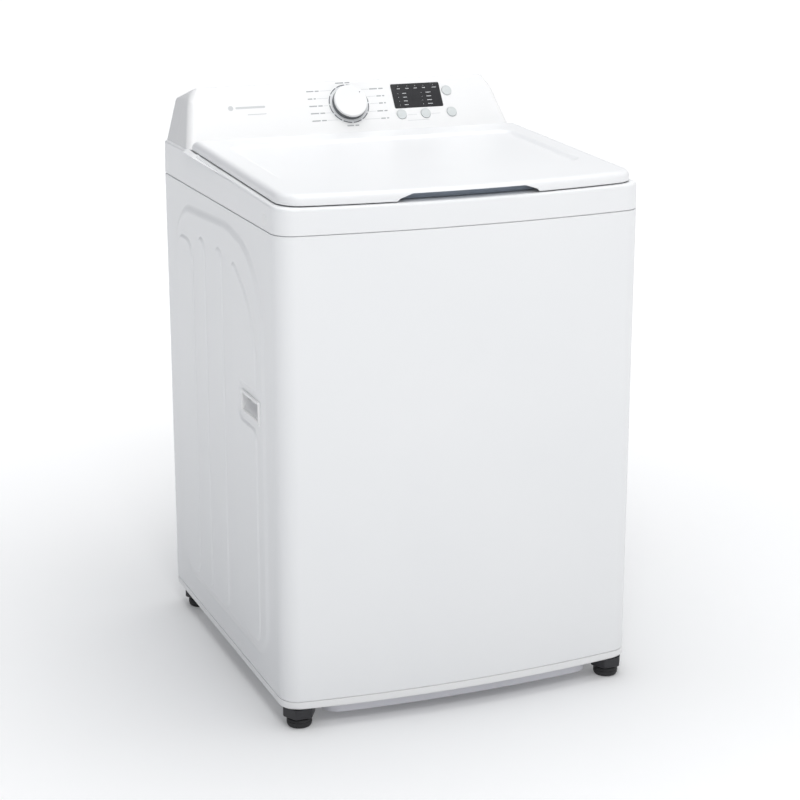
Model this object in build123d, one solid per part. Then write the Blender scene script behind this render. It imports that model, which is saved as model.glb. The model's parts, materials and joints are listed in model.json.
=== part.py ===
from build123d import *
import math
import os

# Top-loading washing machine. Millimetres, +Z up, front towards -Y, +X to the right of someone
# facing the front. The origin is the middle of the footprint, on the floor.

# ---- cabinet ----
HALF_WIDTH = 343.0
FRONT_Y = -365.0  # middle of the bowed front
CORNER_Y = -340.0  # where the bow would meet the side walls
BACK_Y = 347.0
REAR_REACH = 365.0  # end of the hose connectors
CORNER_RADIUS = 38.0
SHEET = 1.2
BASE_Z = 39.0
BASE_TOP = 54.0
CABINET_BOTTOM = 55.0
CABINET_TOP = 896.5
COVER_BOTTOM = 897.5
REAR_FLANGE = 20.0

# ---- pressed field and ribs of the side walls, as (Y, Z, corner radius) ----
PLATEAU = 2.5
RIB = 2.0
FIELD = [(284, 98, 75), (284, 783, 50), (132, 869, 110), (-78, 881, 150), (-268, 778, 60), (-268, 98, 75)]
RIB_BOTTOM = 119.0
RIB_TOP = 806.0
STRAIGHT_RIBS = [(148, 260), (68, 118), (-40, 8)]
BOW_RIB_BACK = -88.0
BOW_RIB_FRONT = -228.0
PRESS_ANGLE = 40.0

# ---- carrying handles ----
HANDLE_Y0 = -242.0
HANDLE_Y1 = -142.0
HANDLE_Z0 = 544.0
HANDLE_Z1 = 586.0
HANDLE_DEPTH = 34.0
HANDLE_MARGIN = 11.0  # plain band of the wall round each handle

# ---- top cover and lid ----
DECK_FRONT_Z = 943.5
DECK_Z = 962.5
DECK_RISE_Y = 197.0  # the deck is level behind this
DECK_SKIN = 2.5
TILT = math.degrees(math.atan2(DECK_Z - DECK_FRONT_Z, DECK_RISE_Y - FRONT_Y))
MOUTH_Y = -65.0
MOUTH_RADIUS = 200.0
COLLAR_BOTTOM = 880.0
LID_GAP = 2.0
LID_HALF = 333.0
LID_FRONT = 5.0  # set back from the cabinet's front
LID_BOW = 27.0
LID_CORNER = 45.0
LID_THICK = 19.0
LID_WALL = 3.0
HINGE_RUN = 535.0  # hinge axis from the cabinet's front, along the lid
HINGE_DROP = 3.0  # hinge axis below the lid's underside
BARREL = LID_THICK + HINGE_DROP
HINGE_X = 302.0
PIN_RADIUS = 4.0
RUNNING = 0.05  # radial clearance of a running fit
TROUGH_FRONT = 144.0
TROUGH_BACK = 197.0
TROUGH_FLOOR = 936.0
PANEL_HALF_X = 290.0
PANEL_RUN = (151.0, 478.0)
PANEL_DEPTH = 7.0
NOTCH_BOTTOM = 131.0
NOTCH_TOP = 105.0
NOTCH_HEIGHT = 13.0
NOTCH_POCKET = 22.0
STRIKE_X = 270.0
STRIKE_Y = -60.0
CUP_BOX = (-282.0, -198.0, -307.0, -243.0)  # dispenser cup's hole: X, X, Y, Y
CUP_DEPTH = 40.0

# ---- console ----
FACE_TILT = 56.9  # of the control face, from the horizontal
FACE_Y = 205.1
FACE_Z = 970.0
FACE_LENGTH = 119.5
CONSOLE_BACK_Z = 1042.0
CONSOLE_HALF = [(338.0, DECK_Z), (317.0, 1044.0), (300.0, 1071.0)]
CONSOLE_WALL = 2.5
CONSOLE_ROUND = 6.0
KNOB_AT = (3.5, 68.0)
KNOB_RADIUS = 34.5
KNOB_HEIGHT = 16.0
SKIRT_TOP = 11.0
RING_RADIUS = 41.0
STEM_RADIUS = 3.0
WINDOW = (97.6, 201.5, 52.0, 105.0)
BUTTONS = {"button_start": (215.0, 86.0), "button_temp": (109.0, 39.5), "button_spin": (160.0, 39.0),
           "button_soil": (216.0, 39.0)}
BUTTON_RADIUS = 10.3
BUTTON_TRAVEL = 1.5
BOARD_DEPTH = 16.0

# ---- tub, basket and drive, about one vertical axis ----
TUB_Y = -15.0
TUB_RADIUS = 283.0
TUB_WALL = 3.0
TUB_BOTTOM = 300.0
TUB_TOP = 840.0
BASKET_RADIUS = 256.2
BASKET_SHEET = 1.2
BASKET_BOTTOM = 325.0
BASKET_TOP = 800.0
BALANCE_INNER = 233.0
BALANCE_OUTER = 258.0
BALANCE_TOP = 835.0
IMPELLER_RADIUS = 180.0
SHAFT_RADIUS = 10.0
TUBE_RADIUS = 18.0
GEARCASE_RADIUS = 60.0
PULLEY_RADIUS = 85.0
MOTOR_PULLEY_RADIUS = 25.0
PULLEY_Z = (120.0, 145.0)
MOTOR_Y = 170.0
MOTOR_RADIUS = 65.0
MOTOR_SHAFT = 6.0
BELT_GAP = 0.3
BELT_THICK = 4.0
PUMP_AT = (-150.0, -130.0)

# ---- suspension ----
ROD_X = 262.0
ROD_REACH = 262.0  # of each rod from the tub's axis, along Y
ROD_RADIUS = 4.0
ROD_BOTTOM = 222.0
ROD_TOP = 880.0
SEAT_TOP = 236.0
EAR_Z = (330.0, 345.0)
SPRING_RADIUS = 17.0
CUP_Z = (860.0, 870.0)

# ---- feet ----
FOOT_X = 308.0
FOOT_YS = (-317.0, 307.5)
FOOT_RADIUS = 23.0
FOOT_HEIGHT = 19.0
FOOT_STEM = 5.0
FOOT_STEM_TOP = 85.0
COLLAR_FOOT_Z = 20.0
COLLAR_RADIUS = 31.0  # corner radius of the hexagonal collars
PAN_HALF = 265.0
PAN_CORNER = 35.0
PAN_FRONT = -350.0
PAN_BOW = 14.0
PAN_BACK = 232.0

# ---- rear connections ----
VALVE_X = (-230.0, -180.0)
VALVE_Z = 926.0
CONNECTOR_RADIUS = 13.3  # 3/4 in hose thread
DRAIN_AT = (230.0, 850.0)
DRAIN_RADIUS = 15.0
GLAND_AT = (285.0, 800.0)
GLAND_RADIUS = 9.0

BOTTOM = (Align.CENTER, Align.CENTER, Align.MIN)
FACE = Plane(
    origin=(0, FACE_Y, FACE_Z),
    x_dir=(1, 0, 0),
    z_dir=(0, -math.sin(math.radians(FACE_TILT)), math.cos(math.radians(FACE_TILT))),
)
LID = Plane(
    origin=(0, FRONT_Y, DECK_FRONT_Z + LID_GAP),
    x_dir=(1, 0, 0),
    z_dir=(0, -math.sin(math.radians(TILT)), math.cos(math.radians(TILT))),
)
HINGE = LID.from_local_coords(Vector(0, HINGE_RUN, -HINGE_DROP))


# ---------------------------------------------------------------- helpers
def block(x0, x1, y0, y1, z0, z1):
    """Box between two corners."""
    size = Box(x1 - x0, y1 - y0, z1 - z0)
    return Pos((x0 + x1) / 2, (y0 + y1) / 2, (z0 + z1) / 2) * size


def post(radius, z0, z1, x=0.0, y=TUB_Y):
    """Upright cylinder."""
    return Pos(x, y, z0) * Cylinder(radius, z1 - z0, align=BOTTOM)


def ring(inner, outer, z0, z1, x=0.0, y=TUB_Y):
    """Upright tube."""
    return post(outer, z0, z1, x, y) - post(inner, z0 - 1, z1 + 1, x, y)


def turned(points, x=0.0, y=TUB_Y):
    """Solid turned about an upright axis from (radius, height) points."""
    profile = make_face(Plane.XZ * Polyline(*points, close=True))
    return Pos(x, y, 0) * revolve(profile, Axis.Z)


def lying(radius, x, z, y0, y1):
    """Cylinder along Y."""
    return Pos(x, y0, z) * Rot(-90, 0, 0) * Cylinder(radius, y1 - y0, align=BOTTOM)


def crosswise(radius, y, z, x0, x1):
    """Cylinder along X."""
    return Pos(x0, y, z) * Rot(0, 90, 0) * Cylinder(radius, x1 - x0, align=BOTTOM)


def on_face(shape, x, along, out):
    """Puts a shape on the console's control face: across, up along the face, and out from it."""
    return FACE.location * Pos(x, along, out) * shape


def stud(radius, x, along, n0, n1):
    """Cylinder square to the control face, between two heights above it."""
    return on_face(Cylinder(radius, n1 - n0, align=BOTTOM), x, along, n0)


def plate(x0, x1, s0, s1, n0, n1):
    """Box on the control face."""
    return on_face(Box(x1 - x0, s1 - s0, n1 - n0, align=BOTTOM), (x0 + x1) / 2, (s0 + s1) / 2, n0)


def on_lid(x0, x1, y0, y1, z0, z1):
    """Box in the lid's own tilted frame, whose zero height is its underside."""
    return LID.location * block(x0, x1, y0, y1, z0, z1)


def both_sides(shape):
    """A shape and its mirror image across the machine's middle plane."""
    return shape + mirror(shape, about=Plane.YZ)


def bowed(half, corner, front, back, radius):
    """Outline with a bowed front and rounded front corners."""
    walls = Polyline((-half, corner), (-half, back), (half, back), (half, corner))
    bow = ThreePointArc((half, corner), (0, front), (-half, corner))
    outline = make_face(walls.edges() + bow.edges())
    return fillet(outline.vertices().sort_by(Axis.Y)[:2], radius)


def plan(inset=0.0):
    """Plan of the cabinet, drawn inward."""
    radius = CORNER_RADIUS - inset
    return bowed(HALF_WIDTH - inset, CORNER_Y + inset, FRONT_Y + inset, BACK_Y - inset, radius)


def between(face, z0, z1):
    """Upright prism on a plan face."""
    return Pos(0, 0, z0) * extrude(face, z1 - z0, dir=(0, 0, 1))


def rounded(points):
    """Side-wall outline from (Y, Z, corner radius) points."""
    outline = make_face(Polyline(*[(y, z) for y, z, _ in points], close=True))
    for y, z, radius in points:
        corner = outline.vertices().sort_by_distance((y, z, 0))[0]
        outline = fillet(corner, radius)
    return outline


def pressed(outline, level, height):
    """Raised pad of the right side wall and the hollow behind it."""
    flat = Plane.YZ.offset(level) * outline
    pad = extrude(flat, height, taper=PRESS_ANGLE)
    inner = Plane.YZ.offset(level - SHEET) * offset(outline, -SHEET)
    hollow = extrude(inner, height, taper=PRESS_ANGLE)
    return pad, hollow


# ---------------------------------------------------------------- cabinet shell
def rib_outlines():
    """Outlines of the pressed ribs; the front one follows the field's corner and steps round the handle."""
    outlines = []
    for front, back in STRAIGHT_RIBS:
        radius = (back - front) / 2 - 0.5
        corners = [(front, RIB_BOTTOM), (back, RIB_BOTTOM), (back, RIB_TOP), (front, RIB_TOP)]
        outlines.append(rounded([(y, z, radius) for y, z in corners]))
    low = HANDLE_Z0 - HANDLE_MARGIN
    high = HANDLE_Z1 + HANDLE_MARGIN
    behind = HANDLE_Y1 + HANDLE_MARGIN
    bow = [(BOW_RIB_FRONT, RIB_BOTTOM, 35), (BOW_RIB_BACK, RIB_BOTTOM, 35)]
    bow += [(BOW_RIB_BACK, RIB_TOP, 25), (BOW_RIB_FRONT, RIB_TOP - 75, 50)]
    bow += [(BOW_RIB_FRONT, high, 8), (behind, high, 8), (behind, low, 14), (BOW_RIB_FRONT, low, 25)]
    outlines.append(rounded(bow))
    return outlines


def cabinet_wrap():
    """One folded steel sheet: bowed front, both pressed sides and narrow rear flanges."""
    wall = between(plan() - plan(SHEET), CABINET_BOTTOM, CABINET_TOP)
    edge = HALF_WIDTH - REAR_FLANGE
    wall -= block(-edge, edge, BACK_Y - 5, BACK_Y + 5, CABINET_BOTTOM - 1, CABINET_TOP + 1)
    pads = [pressed(rounded(FIELD), HALF_WIDTH, PLATEAU)]
    for outline in rib_outlines():
        pads.append(pressed(outline, HALF_WIDTH + PLATEAU, RIB))
    for pad, _ in pads:
        wall += both_sides(pad)
    for _, hollow in pads:
        wall -= both_sides(hollow)
    hole = block(HALF_WIDTH - 10, HALF_WIDTH + 10, HANDLE_Y0 + 5, HANDLE_Y1 - 5, HANDLE_Z0 + 5, HANDLE_Z1 - 5)
    return wall - both_sides(hole)


def rear_panel():
    """Flat rear sheet with two pressed stiffeners and openings for the drain and the mains lead."""
    half = HALF_WIDTH - SHEET - 0.3
    outer = BACK_Y - SHEET
    sheet = block(-half, half, outer - SHEET, outer, CABINET_BOTTOM + 1, CABINET_TOP - 1)
    for x in (-150, 150):
        sheet += block(x - 60, x + 60, outer - 5, outer - SHEET, 150, 760)
        sheet -= block(x - 58, x + 58, outer - 5 + SHEET, outer + 1, 152, 758)
    sheet -= lying(DRAIN_RADIUS + 0.5, *DRAIN_AT, outer - 10, outer + 5)
    return sheet - lying(GLAND_RADIUS + 0.3, *GLAND_AT, outer - 10, outer + 5)


def base_frame():
    """Moulded base: outer band, floor with a service opening, lip inside the cabinet and foot bosses."""
    band = between(plan() - plan(2.0), BASE_Z, BASE_TOP)
    floor = between(plan(2.0), BASE_Z, BASE_Z + 2.5)
    floor -= block(-230, 230, -290, 210, BASE_Z - 1, BASE_Z + 10)
    lip = between(plan(SHEET + 0.3) - plan(SHEET + 2.3), BASE_Z, BASE_TOP + 16)
    lip -= block(-HALF_WIDTH, HALF_WIDTH, BACK_Y - 8, BACK_Y, BASE_TOP, BASE_TOP + 20)
    frame = band + floor + lip
    for x in (-FOOT_X, FOOT_X):
        for y in FOOT_YS:
            frame += post(13, BASE_Z, BASE_TOP + 8, x, y)
            frame -= post(FOOT_STEM + 0.3, BASE_Z - 1, BASE_TOP + 12, x, y)
    return frame


def base_pan():
    """Galvanised tray that closes the base under the drive."""
    outline = bowed(PAN_HALF, PAN_FRONT + PAN_BOW, PAN_FRONT, PAN_BACK, PAN_CORNER)
    front = PAN_FRONT + SHEET
    inner = bowed(PAN_HALF - SHEET, front + PAN_BOW, front, PAN_BACK - SHEET, PAN_CORNER - SHEET)
    return between(outline, 20, BASE_Z) - between(inner, 20 + SHEET, BASE_Z + 1)


def foot_collars():
    """Four hexagonal plastic sockets under the base."""
    collars = None
    for x in (-FOOT_X, FOOT_X):
        for y in FOOT_YS:
            hexagon = RegularPolygon(COLLAR_RADIUS, 6)
            body = Pos(x, y, COLLAR_FOOT_Z) * extrude(hexagon, BASE_Z - COLLAR_FOOT_Z)
            body -= post(FOOT_RADIUS + 1, COLLAR_FOOT_Z - 1, COLLAR_FOOT_Z + 8, x, y)
            body -= post(FOOT_STEM + 0.3, COLLAR_FOOT_Z, BASE_Z + 1, x, y)
            collars = body if collars is None else collars + body
    return collars


def foot(x, y):
    """Levelling foot: moulded pad on a threaded stem."""
    pad = turned([(0, 0), (18, 0), (22, 3), (FOOT_RADIUS, 8), (FOOT_RADIUS, 15), (19, FOOT_HEIGHT),
                  (FOOT_STEM, FOOT_HEIGHT), (FOOT_STEM, FOOT_STEM_TOP), (0, FOOT_STEM_TOP)], x, y)
    return pad


def handle_cup(side):
    """Moulded pocket behind a hand hole in the side wall; side is -1 for left and 1 for right."""
    x = HALF_WIDTH + PLATEAU
    flange = block(x, x + 1.5, HANDLE_Y0, HANDLE_Y1, HANDLE_Z0, HANDLE_Z1)
    shell = block(x - HANDLE_DEPTH, x + 1.5, HANDLE_Y0 + 5.2, HANDLE_Y1 - 5.2, HANDLE_Z0 + 5.2, HANDLE_Z1 - 5.2)
    pocket = block(x - HANDLE_DEPTH + 2, x + 5, HANDLE_Y0 + 7, HANDLE_Y1 - 7, HANDLE_Z0 + 7, HANDLE_Z1 - 7)
    cup = flange + shell - pocket
    return cup if side > 0 else mirror(cup, about=Plane.YZ)


# ---------------------------------------------------------------- top cover and lid
def wedge(drop):
    """Side profile of the top cover, with its deck lowered by drop."""
    points = [(FRONT_Y - 1, COVER_BOTTOM - 20), (BACK_Y + 1, COVER_BOTTOM - 20), (BACK_Y + 1, DECK_Z - drop),
              (DECK_RISE_Y, DECK_Z - drop), (FRONT_Y - 1, DECK_FRONT_Z - drop)]
    profile = make_face(Plane.YZ * Polyline(*points, close=True))
    return extrude(profile, HALF_WIDTH + 1, both=True)


def top_cover():
    """Deck with the loading mouth and its collar, a hinge trough behind the lid and a skirt all round."""
    cover = between(plan(), COVER_BOTTOM, DECK_Z + 5) & wedge(0)
    rim = cover.edges().filter_by_position(Axis.Z, DECK_FRONT_Z - 1, DECK_Z + 1)
    rim = rim.filter_by(lambda e: e.center().Z < DECK_Z + 0.1 and abs(e.center().X) > HALF_WIDTH - 2)
    cover = fillet(rim, 5)
    cover -= between(plan(DECK_SKIN), COVER_BOTTOM - 20, DECK_Z + 5) & wedge(DECK_SKIN)
    lip = between(plan(SHEET + 0.3) - plan(SHEET + 3), COVER_BOTTOM - 12, COVER_BOTTOM + 5)
    cover += lip - block(-HALF_WIDTH, HALF_WIDTH, BACK_Y - 8, BACK_Y, COVER_BOTTOM - 15, COVER_BOTTOM)
    collar = ring(MOUTH_RADIUS, MOUTH_RADIUS + 3, COLLAR_BOTTOM, DECK_Z, 0, MOUTH_Y) & wedge(0.5)
    cover += collar
    cover -= post(MOUTH_RADIUS, COLLAR_BOTTOM - 1, DECK_Z + 10, 0, MOUTH_Y)
    half = LID_HALF + 1.5
    trough = block(-half - 2, half + 2, TROUGH_FRONT - 2.5, TROUGH_BACK + 2.5, TROUGH_FLOOR - 2.5, DECK_Z - 1)
    cover += trough & wedge(0.5)
    cover -= block(-half, half, TROUGH_FRONT, TROUGH_BACK, TROUGH_FLOOR, DECK_Z + 10)
    cover -= block(STRIKE_X - 4, STRIKE_X + 5, STRIKE_Y - 18, STRIKE_Y + 15, 930, DECK_Z + 5)
    x0, x1, y0, y1 = CUP_BOX
    cover -= block(x0, x1, y0, y1, 930, DECK_Z)
    cover -= block(-36, 36, MOUTH_Y + 150, MOUTH_Y + 215, 906, 928)
    for x in VALVE_X:
        cover -= lying(CONNECTOR_RADIUS + 1.2, x, VALVE_Z, BACK_Y - 20, BACK_Y + 5)
    cover -= both_sides(crosswise(10.7, -273.5, 915, HALF_WIDTH - 8, HALF_WIDTH + 5))
    return cover


def side_plugs():
    """Round snap caps over the cover's side screws."""
    cap = crosswise(10.5, -273.5, 915, HALF_WIDTH - 2.4, HALF_WIDTH + 0.4)
    return both_sides(cap + crosswise(12.5, -273.5, 915, HALF_WIDTH - 4.5, HALF_WIDTH - 2.6))


def lid_outline(inset=0.0):
    """Plan of the lid up to its hinge axis, measured from the cabinet's front."""
    half = LID_HALF - inset
    front = LID_FRONT + inset
    return bowed(half, front + LID_BOW, front, HINGE_RUN, LID_CORNER - inset)


def barrel(radius, half):
    """Quarter-round rear edge of the lid, about the hinge axis."""
    log = LID.location * Pos(-half, HINGE_RUN, -HINGE_DROP) * Rot(0, 90, 0) * Cylinder(radius, 2 * half, align=BOTTOM)
    return log & on_lid(-half, half, HINGE_RUN, HINGE_RUN + radius, -HINGE_DROP, LID_THICK)


def lid_panel(grow, depth, down):
    """Recess in the middle of the lid's top, or the skin under it."""
    run = PANEL_RUN[1] - PANEL_RUN[0]
    outline = RectangleRounded(2 * (PANEL_HALF_X + grow), run + 2 * grow, 28 + grow)
    body = extrude(outline, depth + down, taper=-30 if grow == 0 else 0)
    return LID.location * Pos(0, sum(PANEL_RUN) / 2, LID_THICK - depth) * body


def lid_outer():
    """Outer skin of the lid: bowed slab with a recessed panel, finger notch and quarter-round rear edge."""
    slab = extrude(lid_outline(), LID_THICK)
    rim = slab.edges().filter_by_position(Axis.Z, LID_THICK - 0.1, LID_THICK + 0.1)
    rim = rim.filter_by(lambda e: e.center().Y < HINGE_RUN - 5)
    slab = LID.location * fillet(rim, 6)
    slab += barrel(BARREL, LID_HALF - 1)
    void = LID.location * Pos(0, 0, -5) * extrude(lid_outline(LID_WALL), LID_THICK - LID_WALL + 5)
    void -= on_lid(-400, 400, HINGE_RUN - 3, HINGE_RUN + 5, -20, 40)
    void -= lid_panel(4, PANEL_DEPTH + LID_WALL, 1)
    slab -= void
    slab -= on_lid(-LID_HALF + 4, LID_HALF - 4, HINGE_RUN - 4, HINGE_RUN, -5, LID_THICK - LID_WALL)
    slab -= barrel(BARREL - LID_WALL, LID_HALF - 4)
    slab -= lid_panel(0, PANEL_DEPTH, 2)
    notch = make_face(Polyline((-NOTCH_BOTTOM, -1), (NOTCH_BOTTOM, -1), (NOTCH_TOP, NOTCH_HEIGHT),
                               (-NOTCH_TOP, NOTCH_HEIGHT), close=True))
    cutter = extrude(Plane.XZ.offset(20) * notch, -60)
    return slab - LID.location * Pos(0, 0, 0) * cutter


def lid_liner():
    """Inner tray of the lid, with the finger pocket and the hinge ears."""
    tray = LID.location * Pos(0, 0, 2) * extrude(lid_outline(LID_WALL + 0.3), 2)
    tray -= on_lid(-400, 400, HINGE_RUN - 12, HINGE_RUN + 5, -20, 40)
    tray -= on_lid(-NOTCH_BOTTOM, NOTCH_BOTTOM, 0, LID_FRONT + NOTCH_POCKET, -5, 10)
    front = LID_FRONT + NOTCH_POCKET
    tray += on_lid(-NOTCH_BOTTOM, NOTCH_BOTTOM, front, front + 2, 2, NOTCH_HEIGHT + 2.5)
    roof = LID.location * Pos(0, 0, NOTCH_HEIGHT + 0.5) * extrude(lid_outline(LID_WALL + 0.3), 2)
    tray += roof & on_lid(-NOTCH_BOTTOM, NOTCH_BOTTOM, 0, front + 2, 0, 20)
    for x0, x1 in ((HINGE_X - 10, HINGE_X - 4), (HINGE_X + 4, HINGE_X + 10)):
        ear = on_lid(x0, x1, HINGE_RUN - 40, HINGE_RUN + 4, 2, LID_THICK - LID_WALL - 0.4)
        ear += on_lid(x0, x1, HINGE_RUN - 7, HINGE_RUN + 7, -10, 4)
        tray += both_sides(ear)
    return tray - both_sides(crosswise(PIN_RADIUS + 0.02, HINGE.Y, HINGE.Z, HINGE_X - 20, HINGE_X + 20))


def lid_hinge_pins():
    """Steel pins the lid turns on."""
    return both_sides(crosswise(PIN_RADIUS, HINGE.Y, HINGE.Z, HINGE_X - 12, HINGE_X + 12))


def hinge_brackets():
    """Uprights in the trough that carry the hinge pins."""
    x0 = HINGE_X - 3.5
    x1 = HINGE_X + 3.5
    tab = crosswise(8, HINGE.Y, HINGE.Z, x0, x1)
    points = [(HINGE.Y - 6, HINGE.Z + 5), (HINGE.Y + 4, HINGE.Z - 6), (163, TROUGH_FLOOR), (146, TROUGH_FLOOR)]
    leg = make_face(Plane.YZ.offset(x0) * Polyline(*points, close=True))
    tab += extrude(leg, x1 - x0, dir=(1, 0, 0))
    return both_sides(tab - crosswise(PIN_RADIUS + RUNNING, HINGE.Y, HINGE.Z, x0 - 1, x1 + 1))


def lid_bumpers():
    """Rubber pads under the lid's corners."""
    pads = None
    for x in (-270, -150, 150, 270):
        pad = LID.location * Pos(x, 45, 2) * Rot(180, 0, 0) * Cylinder(7, 3.5, align=BOTTOM)
        pads = pad if pads is None else pads + pad
    return pads


def lid_strike():
    """Steel catch plate under the lid, with the hole the lock bolt enters."""
    run = STRIKE_Y - FRONT_Y
    catch = on_lid(STRIKE_X, STRIKE_X + 3, run - 9, run + 9, -27, 2)
    return catch - crosswise(5, STRIKE_Y, 938, STRIKE_X - 5, STRIKE_X + 8)


def lid_lock_housing():
    """Body of the lid lock, under the deck beside the catch slot."""
    body = block(STRIKE_X + 7, STRIKE_X + 44, STRIKE_Y - 24, STRIKE_Y + 24, 924, 949)
    return body - crosswise(3.5 + RUNNING, STRIKE_Y, 938, STRIKE_X, STRIKE_X + 34)


def lock_bolt():
    """Sliding bolt of the lid lock, drawn back at rest."""
    return crosswise(3.5, STRIKE_Y, 938, STRIKE_X + 4.5, STRIKE_X + 26)


def dispenser_cup():
    """Detergent cup let into the deck."""
    x0, x1, y0, y1 = CUP_BOX
    cup = on_lid(x0 + 0.5, x1 - 0.5, y0 - FRONT_Y + 0.5, y1 - FRONT_Y - 0.5, -CUP_DEPTH, -LID_GAP + 0.2)
    cup += on_lid(x0 - 5, x1 + 5, y0 - FRONT_Y - 5, y1 - FRONT_Y + 5, -LID_GAP + 0.15, -LID_GAP + 1.6)
    cup -= on_lid(x0 + 3, x1 - 3, y0 - FRONT_Y + 3, y1 - FRONT_Y - 3, -CUP_DEPTH + 2.5, 5)
    return cup - block(x1 - 20, x1 - 8, y1 - 6, y1 + 5, DECK_FRONT_Z - 34, DECK_FRONT_Z - 24)


def fill_flume():
    """Water duct from the inlet valve to the loading mouth."""
    duct = block(-35, 35, MOUTH_Y + 196, 262, 906.5, 927.5)
    duct += block(-35 - 210, 35, 252, 290, 906.5, 927.5)
    inside = block(-33, 33, MOUTH_Y + 190, 262, 908.5, 925.5)
    inside += block(-33 - 210, 33, 254, 288, 908.5, 925.5)
    return duct - inside


def inlet_valve():
    """Twin solenoid valve with the hot and cold hose connectors."""
    valve = block(-248, -162, 292, BACK_Y - 12, 908, 944)
    for x in VALVE_X:
        valve += lying(CONNECTOR_RADIUS, x, VALVE_Z, BACK_Y - 13, REAR_REACH)
        valve -= lying(9, x, VALVE_Z, BACK_Y - 8, REAR_REACH + 1)
        valve += post(14, 870, 909, x, 313)
    return valve


def drain_outlet():
    """Spigot in the rear panel for the drain hose."""
    outer = BACK_Y - SHEET
    spigot = lying(DRAIN_RADIUS, *DRAIN_AT, BACK_Y, REAR_REACH)
    spigot += lying(DRAIN_RADIUS - 0.6, *DRAIN_AT, outer - 30, BACK_Y)
    spigot += lying(DRAIN_RADIUS + 8, *DRAIN_AT, outer - 6, outer - SHEET - 0.1)
    return spigot - lying(DRAIN_RADIUS - 2.5, *DRAIN_AT, outer - 31, REAR_REACH + 1)


def cord_gland():
    """Gland in the rear panel for the mains lead."""
    outer = BACK_Y - SHEET
    gland = lying(GLAND_RADIUS, *GLAND_AT, outer - 12, outer + 8)
    gland += lying(GLAND_RADIUS + 3, *GLAND_AT, outer + 0.1, outer + 4)
    return gland - lying(4, *GLAND_AT, outer - 13, outer + 9)


def cabinet_screws():
    """Pan-head screws of the rear panel and of the console."""
    screws = None
    spots = [(x, z) for x in (-332, 332) for z in (90, 360, 620, 870)]
    for x, z in spots:
        screw = lying(4.2, x, z, BACK_Y + 0.05, BACK_Y + 2.4)
        screws = screw if screws is None else screws + screw
    for x in (-250, -80, 80, 250):
        screws += lying(4.2, x, 985, BACK_Y + 0.05, BACK_Y + 2.4)
    return screws


# ---------------------------------------------------------------- console
def console_body(inset):
    """Solid of the whole console, drawn inward by inset."""
    along = math.radians(FACE_TILT)
    foot_y = FACE_Y - (FACE_Z - DECK_Z) / math.tan(along)
    ridge_y = FACE_Y + FACE_LENGTH * math.cos(along)
    ridge_z = FACE_Z + FACE_LENGTH * math.sin(along)
    side = [(foot_y, DECK_Z), (BACK_Y, DECK_Z), (BACK_Y, CONSOLE_BACK_Z), (ridge_y, ridge_z)]
    profile = make_face(Polyline(*side, close=True))
    ends = [(-x, z) for x, z in CONSOLE_HALF] + [(x, z) for x, z in reversed(CONSOLE_HALF)]
    elevation = make_face(Polyline(*ends, close=True))
    if inset:
        profile = offset(profile, -inset, kind=Kind.INTERSECTION)
        elevation = offset(elevation, -inset, kind=Kind.INTERSECTION)
    run = extrude(Plane.YZ * profile, 400, both=True)
    return run & extrude(Plane.XZ * elevation, 400, both=True)


def console_shell():
    """Hollow console before it is parted into fascia and rear housing."""
    outer = console_body(0)
    edges = outer.edges().filter_by(lambda e: e.center().Z > DECK_Z + 1)
    return fillet(edges, CONSOLE_ROUND) - console_body(CONSOLE_WALL)


def split_y():
    """Where the fascia meets the rear housing, just behind the ridge."""
    return FACE_Y + FACE_LENGTH * math.cos(math.radians(FACE_TILT)) + 12


def console_fascia():
    """Front moulding of the console, with its holes for the knob, window and buttons."""
    shell = console_shell() & block(-400, 400, 150, split_y(), 900, 1100)
    shell -= stud(8, *KNOB_AT, -10, 10)
    x0, x1, s0, s1 = WINDOW
    shell -= plate(x0, x1, s0, s1, -10, 10)
    for x, along in BUTTONS.values():
        shell -= stud(BUTTON_RADIUS + 0.4, x, along, -10, 10)
    return shell


def console_rear():
    """Rear housing of the console."""
    return console_shell() & block(-400, 400, split_y() + 0.2, BACK_Y + 1, 900, 1100)


def display_window():
    """Gloss black display lens with a seat behind the fascia."""
    x0, x1, s0, s1 = WINDOW
    lens = plate(x0 + 0.2, x1 - 0.2, s0 + 0.2, s1 - 0.2, -3.5, 0.4)
    return lens + plate(x0 - 0.7, x1 + 0.7, s0 - 0.7, s1 + 0.7, -4.6, -2.7)


def knob_ring():
    """Thin trim disc under the knob."""
    return stud(RING_RADIUS, *KNOB_AT, 0.05, 1.0) - stud(8, *KNOB_AT, -1, 3)


def knob_skirt():
    """Metallic lower rim of the knob."""
    return stud(KNOB_RADIUS, *KNOB_AT, 1.6, SKIRT_TOP) - stud(KNOB_RADIUS - 5, *KNOB_AT, 0, SKIRT_TOP + 2)


def selector_knob():
    """Programme knob with its stem."""
    cap = Cylinder(KNOB_RADIUS - 0.5, KNOB_HEIGHT - SKIRT_TOP, align=BOTTOM)
    cap = fillet(cap.edges().sort_by(Axis.Z)[-1:], 3)
    knob = on_face(cap, *KNOB_AT, SKIRT_TOP) + stud(9, *KNOB_AT, 1.8, SKIRT_TOP + 1)
    return knob + stud(STEM_RADIUS, *KNOB_AT, -9, SKIRT_TOP)


def selector_encoder():
    """Rotary encoder that holds the knob's stem."""
    x, along = KNOB_AT
    body = plate(x - 9, x + 9, along - 9, along + 9, -BOARD_DEPTH, -4.2)
    return body - stud(STEM_RADIUS + RUNNING, x, along, -11, 0)


def button(x, along):
    """Push button with its retaining flange and plunger."""
    cap = Cylinder(BUTTON_RADIUS, 6, align=BOTTOM)
    cap = fillet(cap.edges().sort_by(Axis.Z)[-1:], 0.8)
    body = on_face(cap, x, along, -4.2)
    body += stud(BUTTON_RADIUS + 1.1, x, along, -5.2, -3.2)
    return body + stud(3, x, along, -8.2, -5)


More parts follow.
